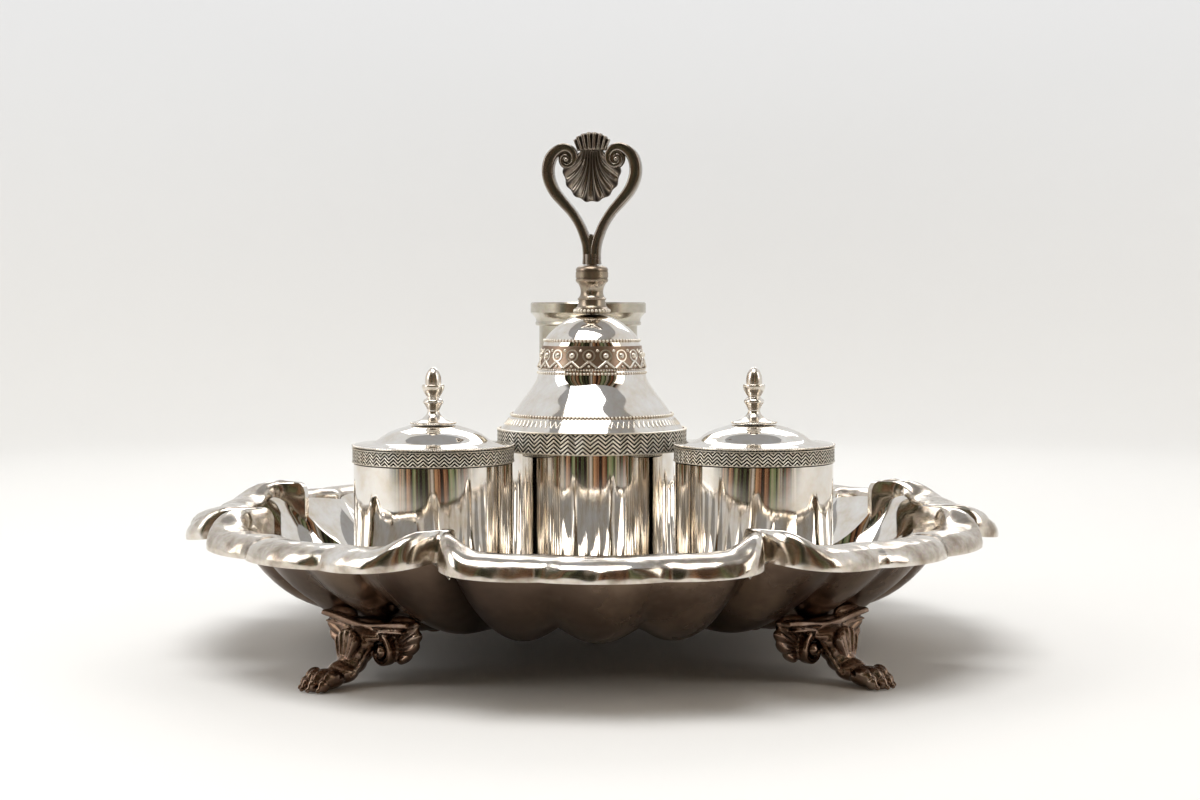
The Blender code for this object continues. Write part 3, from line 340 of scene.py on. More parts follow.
def zigzagFinish(name, polish, place, band):
    # a rolled strip: nested chevrons bitten into the sheet, blackened in the cuts and bright on top
    material, tree, shader = newMaterial(name)
    where = texturePlace(tree, place)
    tone, rough = silverTones(tree, where, polish)
    split = addNode(tree, "ShaderNodeSeparateXYZ", {0: where})
    turn = addNode(tree, "ShaderNodeMath", {0: split.outputs["Y"], 1: split.outputs["X"]},
                   operation="ARCTAN2").outputs[0]
    turn = addNode(tree, "ShaderNodeMath", {0: turn, 1: band["count"] / math.tau}, operation="MULTIPLY").outputs[0]
    peak = addNode(tree, "ShaderNodeMath", {0: turn, 1: 0.5}, operation="PINGPONG").outputs[0]
    height = addNode(tree, "ShaderNodeMath", {0: split.outputs["Z"], 1: band["low"]},
                     operation="SUBTRACT").outputs[0]
    # each line of the nest follows the peak's height
    stripe = addNode(tree, "ShaderNodeMath", {0: peak, 1: 2 * band["swing"], 2: height},
                     operation="MULTIPLY_ADD").outputs[0]
    stripe = addNode(tree, "ShaderNodeMath", {0: stripe, 1: 1 / band["spacing"]}, operation="MULTIPLY").outputs[0]
    stripe = addNode(tree, "ShaderNodeMath", {0: stripe, 1: 0.5}, operation="PINGPONG").outputs[0]
    middle = addNode(tree, "ShaderNodeMath", {0: height, 1: band["tall"] / 2}, operation="SUBTRACT").outputs[0]
    middle = addNode(tree, "ShaderNodeMath", {0: middle}, operation="ABSOLUTE").outputs[0]
    inside = addNode(tree, "ShaderNodeMath", {0: middle, 1: band["tall"] / 2 - band["edge"]},
                     operation="LESS_THAN").outputs[0]
    cuts = []
    for start, end in (chevronCut["line"], chevronCut["valley"]):  # the black line, and the slopes beside it
        line = addNode(tree, "ShaderNodeMapRange", {
            "Value": stripe, "From Min": start, "From Max": end, "To Min": 1, "To Max": 0,
        }, interpolation_type="SMOOTHSTEP").outputs[0]
        cuts.append(addNode(tree, "ShaderNodeMath", {0: line, 1: inside}, operation="MULTIPLY").outputs[0])
    cut, valley = cuts
    black = addNode(tree, "ShaderNodeMath", {0: cut, 1: band["black"]}, operation="MULTIPLY").outputs[0]
    tone = addNode(tree, "ShaderNodeMix", {0: black, 6: tone, 7: toLinear(chevronCut["oxide"])},
                   data_type="RGBA").outputs[2]
    rough = addNode(tree, "ShaderNodeMath", {0: rough, 1: band["matt"]}, operation="ADD").outputs[0]
    rough = addNode(tree, "ShaderNodeMath", {0: cut, 1: chevronCut["roughness"], 2: rough},
                    operation="MULTIPLY_ADD", use_clamp=True).outputs[0]
    bump = addNode(tree, "ShaderNodeBump", {
        "Height": valley, "Strength": 1, "Distance": band["depth"], "Normal": waveBump(tree, where, polish),
    }, invert=True)
    shader.inputs["Metallic"].default_value = 1
    tree.links.new(tone, shader.inputs["Base Color"])
    tree.links.new(rough, shader.inputs["Roughness"])
    tree.links.new(bump.outputs[0], shader.inputs["Normal"])
    return material


# Turning and beading
def finishPiece(piece, material, body, node, smooth=35):
    # round faces are smoothed, and the piece rides on its body in the place of its node
    settle(piece)
    bpy.ops.object.shade_smooth_by_angle(angle=math.radians(smooth))
    piece.data.materials.clear()
    piece.data.materials.append(material)
    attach(piece, body)
    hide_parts(node)


def turnPiece(name, profile, centre=(0, 0), sides=96, loop=False):
    # a circle drawn out along (radius, z) steps. A profile that starts or ends on the axis is closed there
    deselectAll()
    x, y = centre
    start = profile[0] if profile[0][0] else (profile[1][0], profile[0][1])
    bpy.ops.mesh.primitive_circle_add(
        vertices=sides, radius=start[0], fill_type="NOTHING" if profile[0][0] else "NGON",
        location=(x, y, start[1]))
    piece = bpy.context.object
    piece.name = name
    takeIntoEdit()
    if not profile[0][0]:
        bpy.ops.mesh.region_to_loop()
    radius, height = start
    for wide, tall in profile[1:]:
        last = wide == 0
        if wide == radius and tall == height:
            continue
        if last and tall == height:
            bpy.ops.mesh.edge_face_add()
            break
        bpy.ops.mesh.extrude_region_move(TRANSFORM_OT_translate={"value": (0, 0, tall - height)})
        if last:
            bpy.ops.mesh.merge(type="CENTER")
            break
        bpy.ops.transform.resize(value=(wide / radius, wide / radius, 1), center_override=(x, y, tall))
        radius, height = wide, tall
    bpy.ops.mesh.select_all(action="SELECT")
    if loop:
        bpy.ops.mesh.remove_doubles(threshold=0.001 * mm)
    bpy.ops.mesh.normals_make_consistent(inside=False)
    bpy.ops.object.mode_set(mode="OBJECT")
    return piece


def roundEdges(piece, width, steps=2, angle=28):
    bevel = piece.modifiers.new("worn edges", "BEVEL")
    bevel.width, bevel.segments, bevel.limit_method = width, steps, "ANGLE"
    bevel.angle_limit = math.radians(angle)
    pickUp(piece)
    bpy.ops.object.modifier_apply(modifier=bevel.name)


def repeatRound(piece, count, centre=(0, 0)):
    # copies of the whole piece round a vertical axis, in one mesh
    settle(piece)
    takeIntoEdit()
    bpy.ops.mesh.spin(
        steps=count - 1, dupli=True, angle=math.tau * (count - 1) / count, use_auto_merge=False,
        center=(*centre, 0), axis=(0, 0, 1))
    bpy.ops.object.mode_set(mode="OBJECT")
    return piece


def beadRing(name, radius, z, bead, centre=(0, 0), spacing=1.05, fine=1):
    count = int(math.tau * radius / (2 * bead * spacing))
    deselectAll()
    bpy.ops.mesh.primitive_ico_sphere_add(subdivisions=fine, radius=bead, location=(centre[0] + radius, centre[1], z))
    ring = bpy.context.object
    ring.name = name
    return repeatRound(ring, count, centre)


def joinPieces(pieces, name):
    deselectAll()
    for piece in pieces:
        piece.select_set(True)
    bpy.context.view_layer.objects.active = pieces[0]
    bpy.ops.object.join()
    pieces[0].name = name
    return pieces[0]


def inMm(profile, base=0):
    # (radius, z) steps in millimetres, lifted to a height
    return [(r * mm, base + z * mm) for r, z in profile]


def roundSize(node):
    # a round node's middle in metres, its radius in mm, and its lowest and highest point in metres
    low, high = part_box(node)
    return ((low[0] + high[0]) / 2, (low[1] + high[1]) / 2), (high[0] - low[0]) / 2 / mm, low[2], high[2]


def placePiece(piece, turn, place):
    settle(piece)
    piece.rotation_euler, piece.location = turn, place
    bpy.ops.object.transform_apply(location=True, rotation=True, scale=True)
    return piece


def lump(place, radii, turn=(0, 0, 0), segments=24, rings=14):
    bpy.ops.mesh.primitive_uv_sphere_add(segments=segments, ring_count=rings, radius=1)
    piece = bpy.context.object
    piece.scale = [r * mm for r in radii]
    return placePiece(piece, [math.radians(a) for a in turn], [c * mm for c in place])


seatHeight = 14.6 * mm  # where pots, stand and quill holder stand on the dish

# The round holders share one form: a stud below, a rounded foot corner and a thin wall. In mm
cup = {"wall": 1, "floor": 1.4, "stud": 1.6, "studEdge": 0.2, "corner": 0.6}


def cupProfile(radius, studEnd, top, lip=0):
    # up the outside and down the inside
    end, rim, seat, inner = studEnd / mm, top / mm, seatHeight / mm, radius - cup["wall"]
    return inMm([
        (0, end), (cup["stud"] - cup["studEdge"], end), (cup["stud"], end + cup["studEdge"]), (cup["stud"], seat),
        (radius - cup["corner"], seat), (radius, seat + cup["corner"]), (radius, rim - lip), (radius - lip, rim),
        (inner, rim), (inner, seat + cup["floor"]), (0, seat + cup["floor"]),
    ])


def stripProfile(inner, outer, tall, strip, base):
    # a rolled strip: a lip along each edge and the chevrons' ground sunk between them
    ground = outer - strip["sink"]
    return inMm([
        (inner, 0), (outer - strip["under"], 0), (outer, strip["rise"]), (outer, strip["lip"]),
        (ground, strip["ground"]), (ground, tall - strip["ground"]), (outer, tall - strip["lip"]),
        (outer, tall - strip["rise"]), (outer - strip["over"], tall), (inner, tall), (inner, 0),
    ], base)


# The two pots: spun body, rolled chevron strip, domed lid on a three-knuckle hinge, acorn finial
pot = {
    "sides": 128, "stripSides": 144, "finialSides": 64, "gap": 0.3, "stripWall": 1,
    "lidSheet": 0.9, "underLid": (0.4, 21.5),  # the underside's inset, and its radius at the rim
    "lid": [(24.0, 0.0), (24.2, 0.25), (24.1, 0.5), (23.6, 0.62), (22.0, 0.70), (20.2, 0.80), (18.8, 0.98),
            (17.6, 1.30), (16.6, 1.85), (15.6, 2.60), (14.5, 3.40), (13.2, 4.12), (11.8, 4.70), (10.3, 5.20),
            (8.8, 5.62), (7.8, 5.92), (7.2, 6.1), (6.6, 6.2), (0, 6.2)],
    "milling": (24.05, 0.30, 0.27), "pearls": (6.75, 0.34, 0.25),  # ring radius, height, bead
    "finial": [(0, 0), (6.7, 0), (6.85, 0.25), (6.6, 0.60), (5.3, 0.85), (4.1, 1.25), (3.2, 1.75), (2.5, 2.4),
               (2.0, 3.1), (1.78, 3.7), (1.85, 4.2), (2.15, 4.9), (2.5, 5.6), (2.75, 6.0), (3.05, 6.3),
               (3.1, 6.75), (2.8, 7.25), (2.3, 7.6), (1.95, 7.9), (1.95, 8.15), (2.2, 8.5), (2.65, 9.2),
               (3.1, 10.0), (3.3, 10.7), (3.38, 11.2), (3.36, 11.65), (3.1, 11.85), (2.4, 11.9), (2.42, 12.3),
               (2.4, 13.4), (2.25, 14.4), (1.95, 15.3), (1.45, 16.1), (0.85, 16.65), (0.4, 16.9), (0, 17.0)],
    "knuckle": 1.9, "bore": 0.95, "knuckleEdge": 0.25, "knuckleSides": 40, "leafEdge": 0.12, "hingeGap": 0.15,
    "outerKnuckle": (3.1, 8.4), "lidKnuckle": (-2.5, 2.5),  # along the pin, from the middle
    "outerLeaf": (-1.9, -0.9), "lidLeaf": (0.35, 1.05),  # up from the pin
    "outerRoot": 0.6, "lidRoot": 22.5,  # where the leaves start: in from the strip, out from the axis
    "strip": {"under": 0.35, "rise": 0.12, "lip": 0.30, "sink": 0.18, "ground": 0.38, "over": 0.25},
    "chevron": {"count": 50, "swing": 1.35 * mm, "spacing": 1.06 * mm, "edge": 0.30 * mm, "depth": 0.34 * mm,
                "black": 1.0, "matt": 0.10},
}


def makeKnuckle(name, span, leafSpan, root, hinge):
    # a tube round the pin, and the leaf that joins it to the rim
    r, bore, soft = pot["knuckle"], pot["bore"], pot["knuckleEdge"]
    low, high = span
    tube = turnPiece(name, inMm([
        (bore, low), (r - soft, low), (r, low + soft), (r, high - soft), (r - soft, high), (bore, high), (bore, low),
    ]), sides=pot["knuckleSides"], loop=True)
    placePiece(tube, (0, math.pi / 2, 0), hinge)
    end, under, over = hinge.y - bore * mm, hinge.z + leafSpan[0] * mm, hinge.z + leafSpan[1] * mm
    middle = (hinge.x + (low + high) / 2 * mm, (root + end) / 2, (under + over) / 2)
    deselectAll()
    bpy.ops.mesh.primitive_cube_add(size=1, location=middle, scale=((high - low) * mm, end - root, over - under))
    leaf = bpy.context.object
    settle(leaf)
    roundEdges(leaf, pot["leafEdge"] * mm)
    return joinPieces([tube, leaf], name)


def makePot(which, lidBody):
    (x, y), radius, studEnd, top = roundSize(which + "_pot_body")
    spun = finishSilver(f"spun sheet silver of the {which} pot", polishes["spun"], (x, y, 0))
    body = turnPiece(which + "_body", cupProfile(radius, studEnd, top), (x, y), pot["sides"])
    finishPiece(body, spun, "dish", which + "_pot_body")

    # the strip round the mouth with its two outer knuckles
    hinge = Vector(next(j["pos_m"] for j in frame["record"]["behaviour"]["joints"] if j["child"] == lidBody))
    stripRadius = roundSize(which + "_mouth_band")[1]
    stripLow, stripTop = top + pot["gap"] * mm, hinge.z - pot["hingeGap"] * mm
    profile = stripProfile(stripRadius - pot["stripWall"], stripRadius, (stripTop - stripLow) / mm, pot["strip"],
                           stripLow)
    strip = turnPiece(which + "_strip", profile, (x, y), pot["stripSides"], loop=True)
    chevrons = zigzagFinish(f"rolled chevron strip of the {which} pot", polishes["beaded"], (x, y, 0),
                            dict(pot["chevron"], low=stripLow, tall=stripTop - stripLow))
    finishPiece(strip, chevrons, "dish", which + "_mouth_band")
    worn = finishSilver(f"worn hinge silver of the {which} pot", polishes["raised"])
    root = y + (stripRadius - pot["outerRoot"]) * mm
    for side, word in ((-1, "left"), (1, "right")):
        span = sorted(side * reach for reach in pot["outerKnuckle"])
        knuckle = makeKnuckle(f"{which}_outer_knuckle_{word}", span, pot["outerLeaf"], root, hinge)
        finishPiece(knuckle, worn, "dish", which + "_mouth_band")

    # the lid, from the middle of its dome out to the rim and back underneath
    lidLow, outer, sheet = stripTop + pot["gap"] * mm, pot["lid"], pot["lidSheet"]
    inset, underRim = pot["underLid"]
    under = [(r - inset, z - sheet) for r, z in outer[4:-2]]
    profile = [*reversed(outer), (underRim, 0), *under, (0, outer[-1][1] - sheet)]
    dome = turnPiece(which + "_lid_dome", inMm(profile, lidLow), (x, y), pot["sides"])
    finishPiece(dome, spun, lidBody, which + "_lid", smooth=40)
    knuckle = makeKnuckle(which + "_lid_knuckle", pot["lidKnuckle"], pot["lidLeaf"], y + pot["lidRoot"] * mm, hinge)
    finishPiece(knuckle, worn, lidBody, which + "_lid")
    ring, up, bead = pot["milling"]
    milled = beadRing(which + "_lid_milling", ring * mm, lidLow + up * mm, bead * mm, (x, y))
    finishPiece(milled, worn, lidBody, which + "_lid", smooth=60)

    seat = roundSize(which + "_lid_finial")[2]
    acorn = turnPiece(which + "_acorn", inMm(pot["finial"], seat), (x, y), pot["finialSides"])
    castings = finishSilver(f"cast finial silver of the {which} pot", dict(polishes["raised"], wave=6, depth=0.03),
                            (x, y, 0))
    finishPiece(acorn, castings, lidBody, which + "_lid_finial", smooth=50)
    ring, up, bead = pot["pearls"]
    pearls = beadRing(which + "_finial_pearls", ring * mm, seat + up * mm, bead * mm, (x, y))
    finishPiece(pearls, worn, lidBody, which + "_lid_finial", smooth=60)
    print(which, "pot made")


makePot("inkwell", "ink_lid")
makePot("pounce", "pounce_lid")


def softLine(points, steps=4):
    # a smooth curve through (radius, z) points
    line = []
    for i in range(len(points) - 1):
        a, b = points[max(i - 1, 0)], points[i]
        c, d = points[i + 1], points[min(i + 2, len(points) - 1)]
        for k in range(steps):
            t = k / steps
            line.append(tuple(
                0.5 * (2 * b[n] + (c[n] - a[n]) * t + (2 * a[n] - 5 * b[n] + 4 * c[n] - d[n]) * t * t
                       + (3 * b[n] - a[n] - 3 * c[n] + d[n]) * t ** 3) for n in range(len(b))))
    return line + [points[-1]]


# The bell on its stand: heights in mm above the bell's mouth
bell = {
    "sides": 160, "wall": 1.1, "sheet": 0.77, "mouth": [(27.6, 0), (28.7, 0)], "neck": [(1.9, 40.8), (3.3, 40.8)],
    "flank": [(28.7, 6.5), (26.7, 9.1), (24.3, 12.0), (22.0, 15.2), (19.6, 18.3), (17.6, 21.4), (16.75, 24.2)],
    "waist": [(16.75, 24.2), (16.6, 24.9), (16.35, 25.1), (15.55, 32.3), (15.3, 32.5), (14.75, 34.3)],
    "dome": [(14.75, 34.3), (13.9, 35.6), (12.6, 37.1), (10.9, 38.6), (8.6, 40.2), (6.3, 41.3), (4.0, 41.95),
             (1.9, 42.2)],
    "rows": [(25.35, 11.05, 0.46), (16.9, 24.1, 0.42), (16.55, 25.2, 0.34), (14.95, 34.15, 0.46)],  # as milling
    "bed": (0.22, 0.42), "rowSpacing": 1.28,  # a dark ring in from the pearls' middles, and its thickness: painted shade in the pearls' gaps and along each row
    "waistGround": [(16.62, 25.6), (16.45, 26.0), (15.68, 32.1), (15.6, 32.5)], "groundThick": 0.4,
    "ground": {"warm": "#7d6a59", "plain": "#957f6d", "cool": "#ab9887", "rough": (0.34, 0.48), "wave": 6,
               "depth": 0.04},
    "leaves": {"count": 93, "radius": 26.75, "height": 8.95, "tall": 2.5, "bar": 0.17, "lean": 39.6,
               "length": 0.94},
    "motifs": {"count": 19, "radius": 15.95, "height": 28.9, "lean": 9.2, "arch": (1.72, 0.34), "archUp": 0.7,
               "boss": 0.95, "between": (0.55, 2.3), "bar": 0.34, "tall": 2.1, "out": 0.25,
               "tip": (0.45, 0.2, -2.6)},  # between: radius and height; tip: radius, out and height
    "strip": {"under": 0.3, "rise": 0.15, "lip": 0.40, "sink": 0.2, "ground": 0.50, "over": 0.3},
    "stripInside": 29.0, "standLip": 0.2,
    "chevron": {"count": 41, "swing": 1.9 * mm, "spacing": 1.25 * mm, "edge": 0.42 * mm, "depth": 0.22 * mm,
                "black": 0.95, "matt": 0.10},
}


def smallBall(radius, place):
    bpy.ops.mesh.primitive_ico_sphere_add(subdivisions=2, radius=radius * mm, location=place)
    return bpy.context.object


def slantedPair(bar, sides, half, tall, length, out, up):
    # two strokes that lean together to a point
    pair = []
    for side in (-1, 1):
        bpy.ops.mesh.primitive_cylinder_add(
            vertices=sides, radius=bar * mm, depth=math.hypot(half, tall) * length,
            location=(out, side * half / 2, up), rotation=(side * math.atan2(half, tall), 0, 0))
        pair.append(bpy.context.object)
    return pair


def repeatOnBell(pieces, name, row, mouth, material):
    # one motif, leaned to the bell's slope and copied round it
    motif = joinPieces(pieces, name)
    settle(motif)
    takeIntoEdit()
    bpy.ops.transform.rotate(value=math.radians(row["lean"]), orient_axis="Y",
                             center_override=(row["radius"] * mm, 0, mouth + row["height"] * mm))
    bpy.ops.object.mode_set(mode="OBJECT")
    repeatRound(motif, row["count"])
    finishPiece(motif, material, "bell", "bell_body", smooth=60)


def makeBellMotifs(mouth, material):
    # one lunette with its ball, and below it a chevron with a small ball
    row = bell["motifs"]
    radius, height, turn = row["radius"] * mm, mouth + row["height"] * mm, math.pi / row["count"]
    arch, wire = row["arch"]
    deselectAll()
    bpy.ops.mesh.primitive_torus_add(
        major_radius=arch * mm, minor_radius=wire * mm, major_segments=20, minor_segments=6,
        location=(radius, 0, height + row["archUp"] * mm), rotation=(0, math.pi / 2, 0))
    pieces = [bpy.context.object, smallBall(row["boss"], (radius, 0, height + row["archUp"] * mm))]
    ball, up = row["between"]
    pieces.append(smallBall(ball, (radius * math.cos(turn), radius * math.sin(turn), height + up * mm)))
    tall = row["tall"] * mm
    pieces += slantedPair(row["bar"], 8, turn * radius, tall, 1, radius + row["out"] * mm, height - tall)
    ball, out, up = row["tip"]
    pieces.append(smallBall(ball, (radius + out * mm, 0, height + up * mm)))
    repeatOnBell(pieces, "bell_waist_motifs", row, mouth, material)


def makeBellLeaves(mouth, material):
    # small leaves under the lower pearls, each no more than two raised strokes
    row = bell["leaves"]
    radius = row["radius"] * mm
    deselectAll()
    pair = slantedPair(row["bar"], 6, math.pi * radius / row["count"], row["tall"] * mm, row["length"], radius,
                       mouth + row["height"] * mm)
    repeatOnBell(pair, "bell_leaf_row", row, mouth, material)


def makeBell():
    mouth = roundSize("bell_body")[2]
    bright = finishSilver("spun sheet silver of the bell", dict(polishes["spun"], wave=18))
    worn = finishSilver("chased silver of the bell's borders", dict(polishes["beaded"], grooves=chasedGrooves))
    outer = softLine(bell["flank"]) + bell["waist"][1:] + softLine(bell["dome"])[1:]
    inner = [(r - bell["wall"], z - bell["sheet"]) for r, z in bell["flank"][:-1] + bell["dome"][:-2]]
    profile = [bell["mouth"][1], *outer, *bell["neck"], *reversed(inner), *bell["mouth"]]
    body = turnPiece("bell_shell", inMm(profile, mouth), sides=bell["sides"], loop=True)
    finishPiece(body, bright, "bell", "bell_body", smooth=30)
    # a brown matt finish: the blackened ground behind the waist motifs, and painted shade on the rings under the
    # pearl rows
    oxide = finishSilver("blackened ground and painted shade of the bell's borders", bell["ground"])
    line, thick = bell["waistGround"], bell["groundThick"]
    (lowR, lowZ), (highR, highZ) = line[0], line[-1]
    profile = [(lowR - thick, lowZ), *line, (highR - thick, highZ), (lowR - thick, lowZ)]
    ground = turnPiece("bell_waist_ground", inMm(profile, mouth), sides=bell["sides"], loop=True)
    finishPiece(ground, oxide, "bell", "bell_body")
    inset, thick = bell["bed"]
    for i, (radius, up, bead) in enumerate(bell["rows"]):
        height = mouth + up * mm
        row = beadRing(f"bell_pearls_{i}", radius * mm, height, bead * mm, spacing=bell["rowSpacing"], fine=2)
        # a dark ring under each row of pearls: painted shade that shows in the gaps between them and above and below
        # the row
        bpy.ops.mesh.primitive_torus_add(major_radius=(radius - inset) * mm, minor_radius=thick * mm,
                                         major_segments=160, minor_segments=10, location=(0, 0, height))
        bpy.context.object.name = f"bell_pearl_shade_bed_{i}"
        finishPiece(bpy.context.object, oxide, "bell", "bell_body")
        finishPiece(row, worn, "bell", "bell_body", smooth=60)
    makeBellMotifs(mouth, worn)
    makeBellLeaves(mouth, worn)

    radius, low, high = roundSize("bell_mouth_band")[1:]
    profile = stripProfile(bell["stripInside"], radius, (high - low) / mm, bell["strip"], low)
    band = turnPiece("bell_strip", profile, sides=bell["sides"], loop=True)
    chevrons = zigzagFinish("rolled chevron strip of the bell", polishes["beaded"], (0, 0, 0),
                            dict(bell["chevron"], low=low, tall=high - low))
    finishPiece(band, chevrons, "bell", "bell_mouth_band")

    profile = cupProfile(*roundSize("bell_stand_body")[1:], bell["standLip"])
    stand = turnPiece("bell_stand_cylinder", profile, sides=bell["sides"])
    finishPiece(stand, bright, "dish", "bell_stand_body")
    print("bell and stand made")


# The turned ferrule between bell and handle
ferrule = {
    "profile": [(5.2, 0), (5.5, 0.15), (5.5, 1.55), (5.1, 1.75), (4.8, 1.9), (4.45, 2.6), (4.25, 3.5), (4.15, 4.2),
                (4.45, 4.35), (4.5, 4.7), (4.2, 4.95), (3.75, 5.5), (3.55, 6.3), (3.55, 7.2), (3.75, 8.2),
                (4.15, 9.1), (4.55, 9.6), (4.95, 9.9), (5.1, 10.3), (5.1, 10.75), (4.9, 10.85), (4.9, 11.05),
                (5.12, 11.15), (5.12, 13.0), (4.92, 13.1), (4.92, 13.3), (5.1, 13.4), (5.05, 13.9), (4.7, 14.4),
                (4.0, 14.8), (3.2, 15.0)],
    "sides": 72, "bore": 1.9, "web": (3.75, 10.5),  # solid between these heights, hollow above and below
    "pearls": (5.35, 0.85, 0.56),  # as milling
}


def makeFerrule():
    low, high = roundSize("bell_ferrule")[2:]
    worn = finishSilver("turned silver of the ferrule", dict(polishes["dull"], grooves=turnedGrooves))
    bright = finishSilver("chased silver of the ferrule's pearls", polishes["beaded"])
    bore, (webLow, webHigh) = ferrule["bore"], ferrule["web"]
    body = turnPiece("ferrule_turning", inMm([
        (0, webLow), (bore, webLow), (bore, 0), *ferrule["profile"], (bore, (high - low) / mm), (bore, webHigh),
        (0, webHigh),
    ], low), sides=ferrule["sides"])
    finishPiece(body, worn, "bell", "bell_ferrule", smooth=40)
    ring, up, bead = ferrule["pearls"]
    pearls = beadRing("ferrule_pearls", ring * mm, low + up * mm, bead * mm, fine=2)
    finishPiece(pearls, bright, "bell", "bell_ferrule", smooth=60)
    print("ferrule made")


# The quill holder: a plain tube with a cove and a flat flange
quillHolder = {
    "sides": 112, "clear": 0.3, "plate": 4.2, "plateEdge": (0.5, 0.4), "mouthEdge": 0.3, "wall": 1,
    "cove": [(0, 0), (0.7, 0), (1, 0.3), (1, 1.0), (0.75, 1.4), (0.8, 2.3), (1.3, 3.1)],  # out and up
}


def makeQuillHolder():
    middle, r, studEnd, tubeTop = roundSize("quill_tube")
    bright = finishSilver("spun sheet silver of the quill holder", polishes["grey"], (*middle, 0))
    tube = turnPiece("quill_holder_tube", cupProfile(r, studEnd, tubeTop), middle, quillHolder["sides"])
    finishPiece(tube, bright, "dish", "quill_tube")
    middle, wide, base, top = roundSize("quill_flange")
    base, top, clear, soft = base / mm, top / mm, quillHolder["clear"], quillHolder["mouthEdge"]
    inner, near, under = r - quillHolder["wall"], r + clear, top - quillHolder["plate"] + clear
    edge, lip = quillHolder["plateEdge"]
    flange = turnPiece("quill_holder_flange", inMm([
        (inner, under), (near, under), *[(near + out, base + up) for out, up in quillHolder["cove"]],
        (wide - edge, under), (wide, under + lip), (wide, top - edge), (wide - lip, top), (inner + soft, top),
        (inner, top - soft), (inner, under),
    ]), middle, quillHolder["sides"], loop=True)
    finishPiece(flange, bright, "dish", "quill_flange")
    print("quill holder made")


makeBell()
makeFerrule()
makeQuillHolder()


# The dish: eight lobes of three flutes, with a wavy half-round border. Lengths in mm
dish = {
    "lobes": 8, "flute": 1 / 3, "radius": 125.5, "border": 14.0, "notchBorder": 8.5, "bulge": 3.0, "notch": 15.0,
    "turnStart": 0.70, "turnEnd": 0.97, "floor": 13.1, "edge": 40.0, "sheet": 1.2, "flat": 73, "draw": 0.18,
    "curve": 2.9, "creaseLoss": 0.5, "fluteDepth": 5.2, "fluteStart": 46, "notchDepth": 8.8, "notchStart": 34,
    "hole": 1.9, "rings": 30, "crowding": 0.8, "bulgePower": 0.7,
    "columns": (10, 10, 11),  # over half a lobe: to its first crease, to the notch's turn, and to the notch
    "seats": [(-48.064, -27.75, 23.75), (48.064, -27.75, 23.75), (0, 55.5, 16.75)], "fade": 6.0,  # x, y, radius
    "low": 36.3, "lowRise": 2.8, "crest": 5.8, "hump": 3.0, "humpWidth": 1.45, "dip": 0.35, "dipStart": 0.66,
    "section": [(0, 0.60), (0.07, 0.80), (0.17, 0.94), (0.30, 1.0), (0.45, 1.0), (0.60, 0.965), (0.73, 0.89),
                (0.84, 0.77), (0.92, 0.60), (0.97, 0.38), (0.995, 0.14), (0.985, -0.05), (0.94, -0.04)],
    "underside": (0.80, 0.4, 0), "seamGap": 0.3, "underSeam": 0.9,
}


def lobeShares():
    # across one lobe from -1 to just before 1, closer together towards the notch
    ends = (0, dish["flute"], dish["turnStart"], 1)
    half = [0]
    for start, end, columns in zip(ends, ends[1:], dish["columns"]):
        half += [*np.linspace(start, end, columns)[1:]]
    return np.array([-x for x in reversed(half)][:-1] + half)[:-1]


def smoothRise(x):
    x = np.clip(x, 0, 1)
    return x * x * (3 - 2 * x)


def outerEdge(share):
    size = np.abs(share)
    flute = dish["flute"]
    along = (size / flute + 1) / 2 % 1
    bulge = np.abs(np.sin(np.pi * along)) ** dish["bulgePower"]
    end = np.sin(np.pi * np.minimum((size - flute) / (1 - flute), 0.5))
    bulge = dish["bulge"] * np.where(size > flute, end, bulge)
    turn = np.clip((size - dish["turnStart"]) / (dish["turnEnd"] - dish["turnStart"]), 0, 1)
    return dish["radius"] - dish["bulge"] + bulge - dish["notch"] * (1 - np.sqrt(1 - turn ** 2))


def innerEdge(share):
    hump = smoothRise((np.abs(share) - dish["turnStart"]) / (1 - dish["turnStart"]))
    return outerEdge(share) - dish["border"] - (dish["notchBorder"] - dish["border"]) * hump


def underHeight(radius, angle, share):
    # the bowl's underside: a flat that runs out in a curved wall, with flutes that are left out round the seats
    flute, floor = dish["flute"], dish["floor"]
    clear = np.ones_like(radius)
    for x, y, seat in dish["seats"]:
        away = np.hypot(radius * np.cos(angle) - x, radius * np.sin(angle) - y) - seat - dish["fade"]
        clear = np.minimum(clear, np.clip(away / dish["fade"], 0, 1))
    flat = dish["flat"] * (1 - dish["draw"] * (1 - np.cos(4 * angle)) / 2)  # the wall starts nearest over the feet
    along = np.maximum(radius - flat, 0) / (dish["radius"] - dish["border"] - flat)
    wall = (dish["edge"] - dish["sheet"] - floor) * along ** dish["curve"]
    crease = 1 - np.cos(np.pi / 2 * ((np.abs(share) / flute + 1) % 2 - 1))
    depth = dish["fluteDepth"] * np.clip((radius - dish["fluteStart"]) / (dish["flat"] - dish["fluteStart"]), 0, 1)
    rise = np.clip((radius - dish["notchStart"]) / (dish["flat"] - dish["notchStart"]), 0, 1)
    near = (np.maximum(np.abs(share) - 2 * flute, 0) / flute) ** 3
    depth = depth * (1 - dish["creaseLoss"] * np.minimum(along, 1) * (1 - near))  # flutes flatten towards the rim
    return floor + (wall + depth * crease + (dish["notchDepth"] - dish["fluteDepth"]) * rise * near) * clear


def shapeGrid(name, places):
    # a grid whose rows and columns are laid along a formed surface, in mm. Edges that meet are merged, holes closed
    rows, columns = places.shape[:2]
    deselectAll()
    bpy.ops.mesh.primitive_grid_add(x_subdivisions=columns - 1, y_subdivisions=rows - 1, size=1)
    piece = bpy.context.object
    piece.name = name
    piece.data.vertices.foreach_set("co", (places * mm).ravel())
    bpy.ops.object.mode_set(mode="EDIT")
    bpy.ops.mesh.select_all(action="SELECT")
    bpy.ops.mesh.remove_doubles(threshold=0.001 * mm)
    bpy.ops.mesh.fill_holes(sides=0)
    bpy.ops.mesh.normals_make_consistent(inside=False)
    bpy.ops.object.mode_set(mode="OBJECT")
    return piece


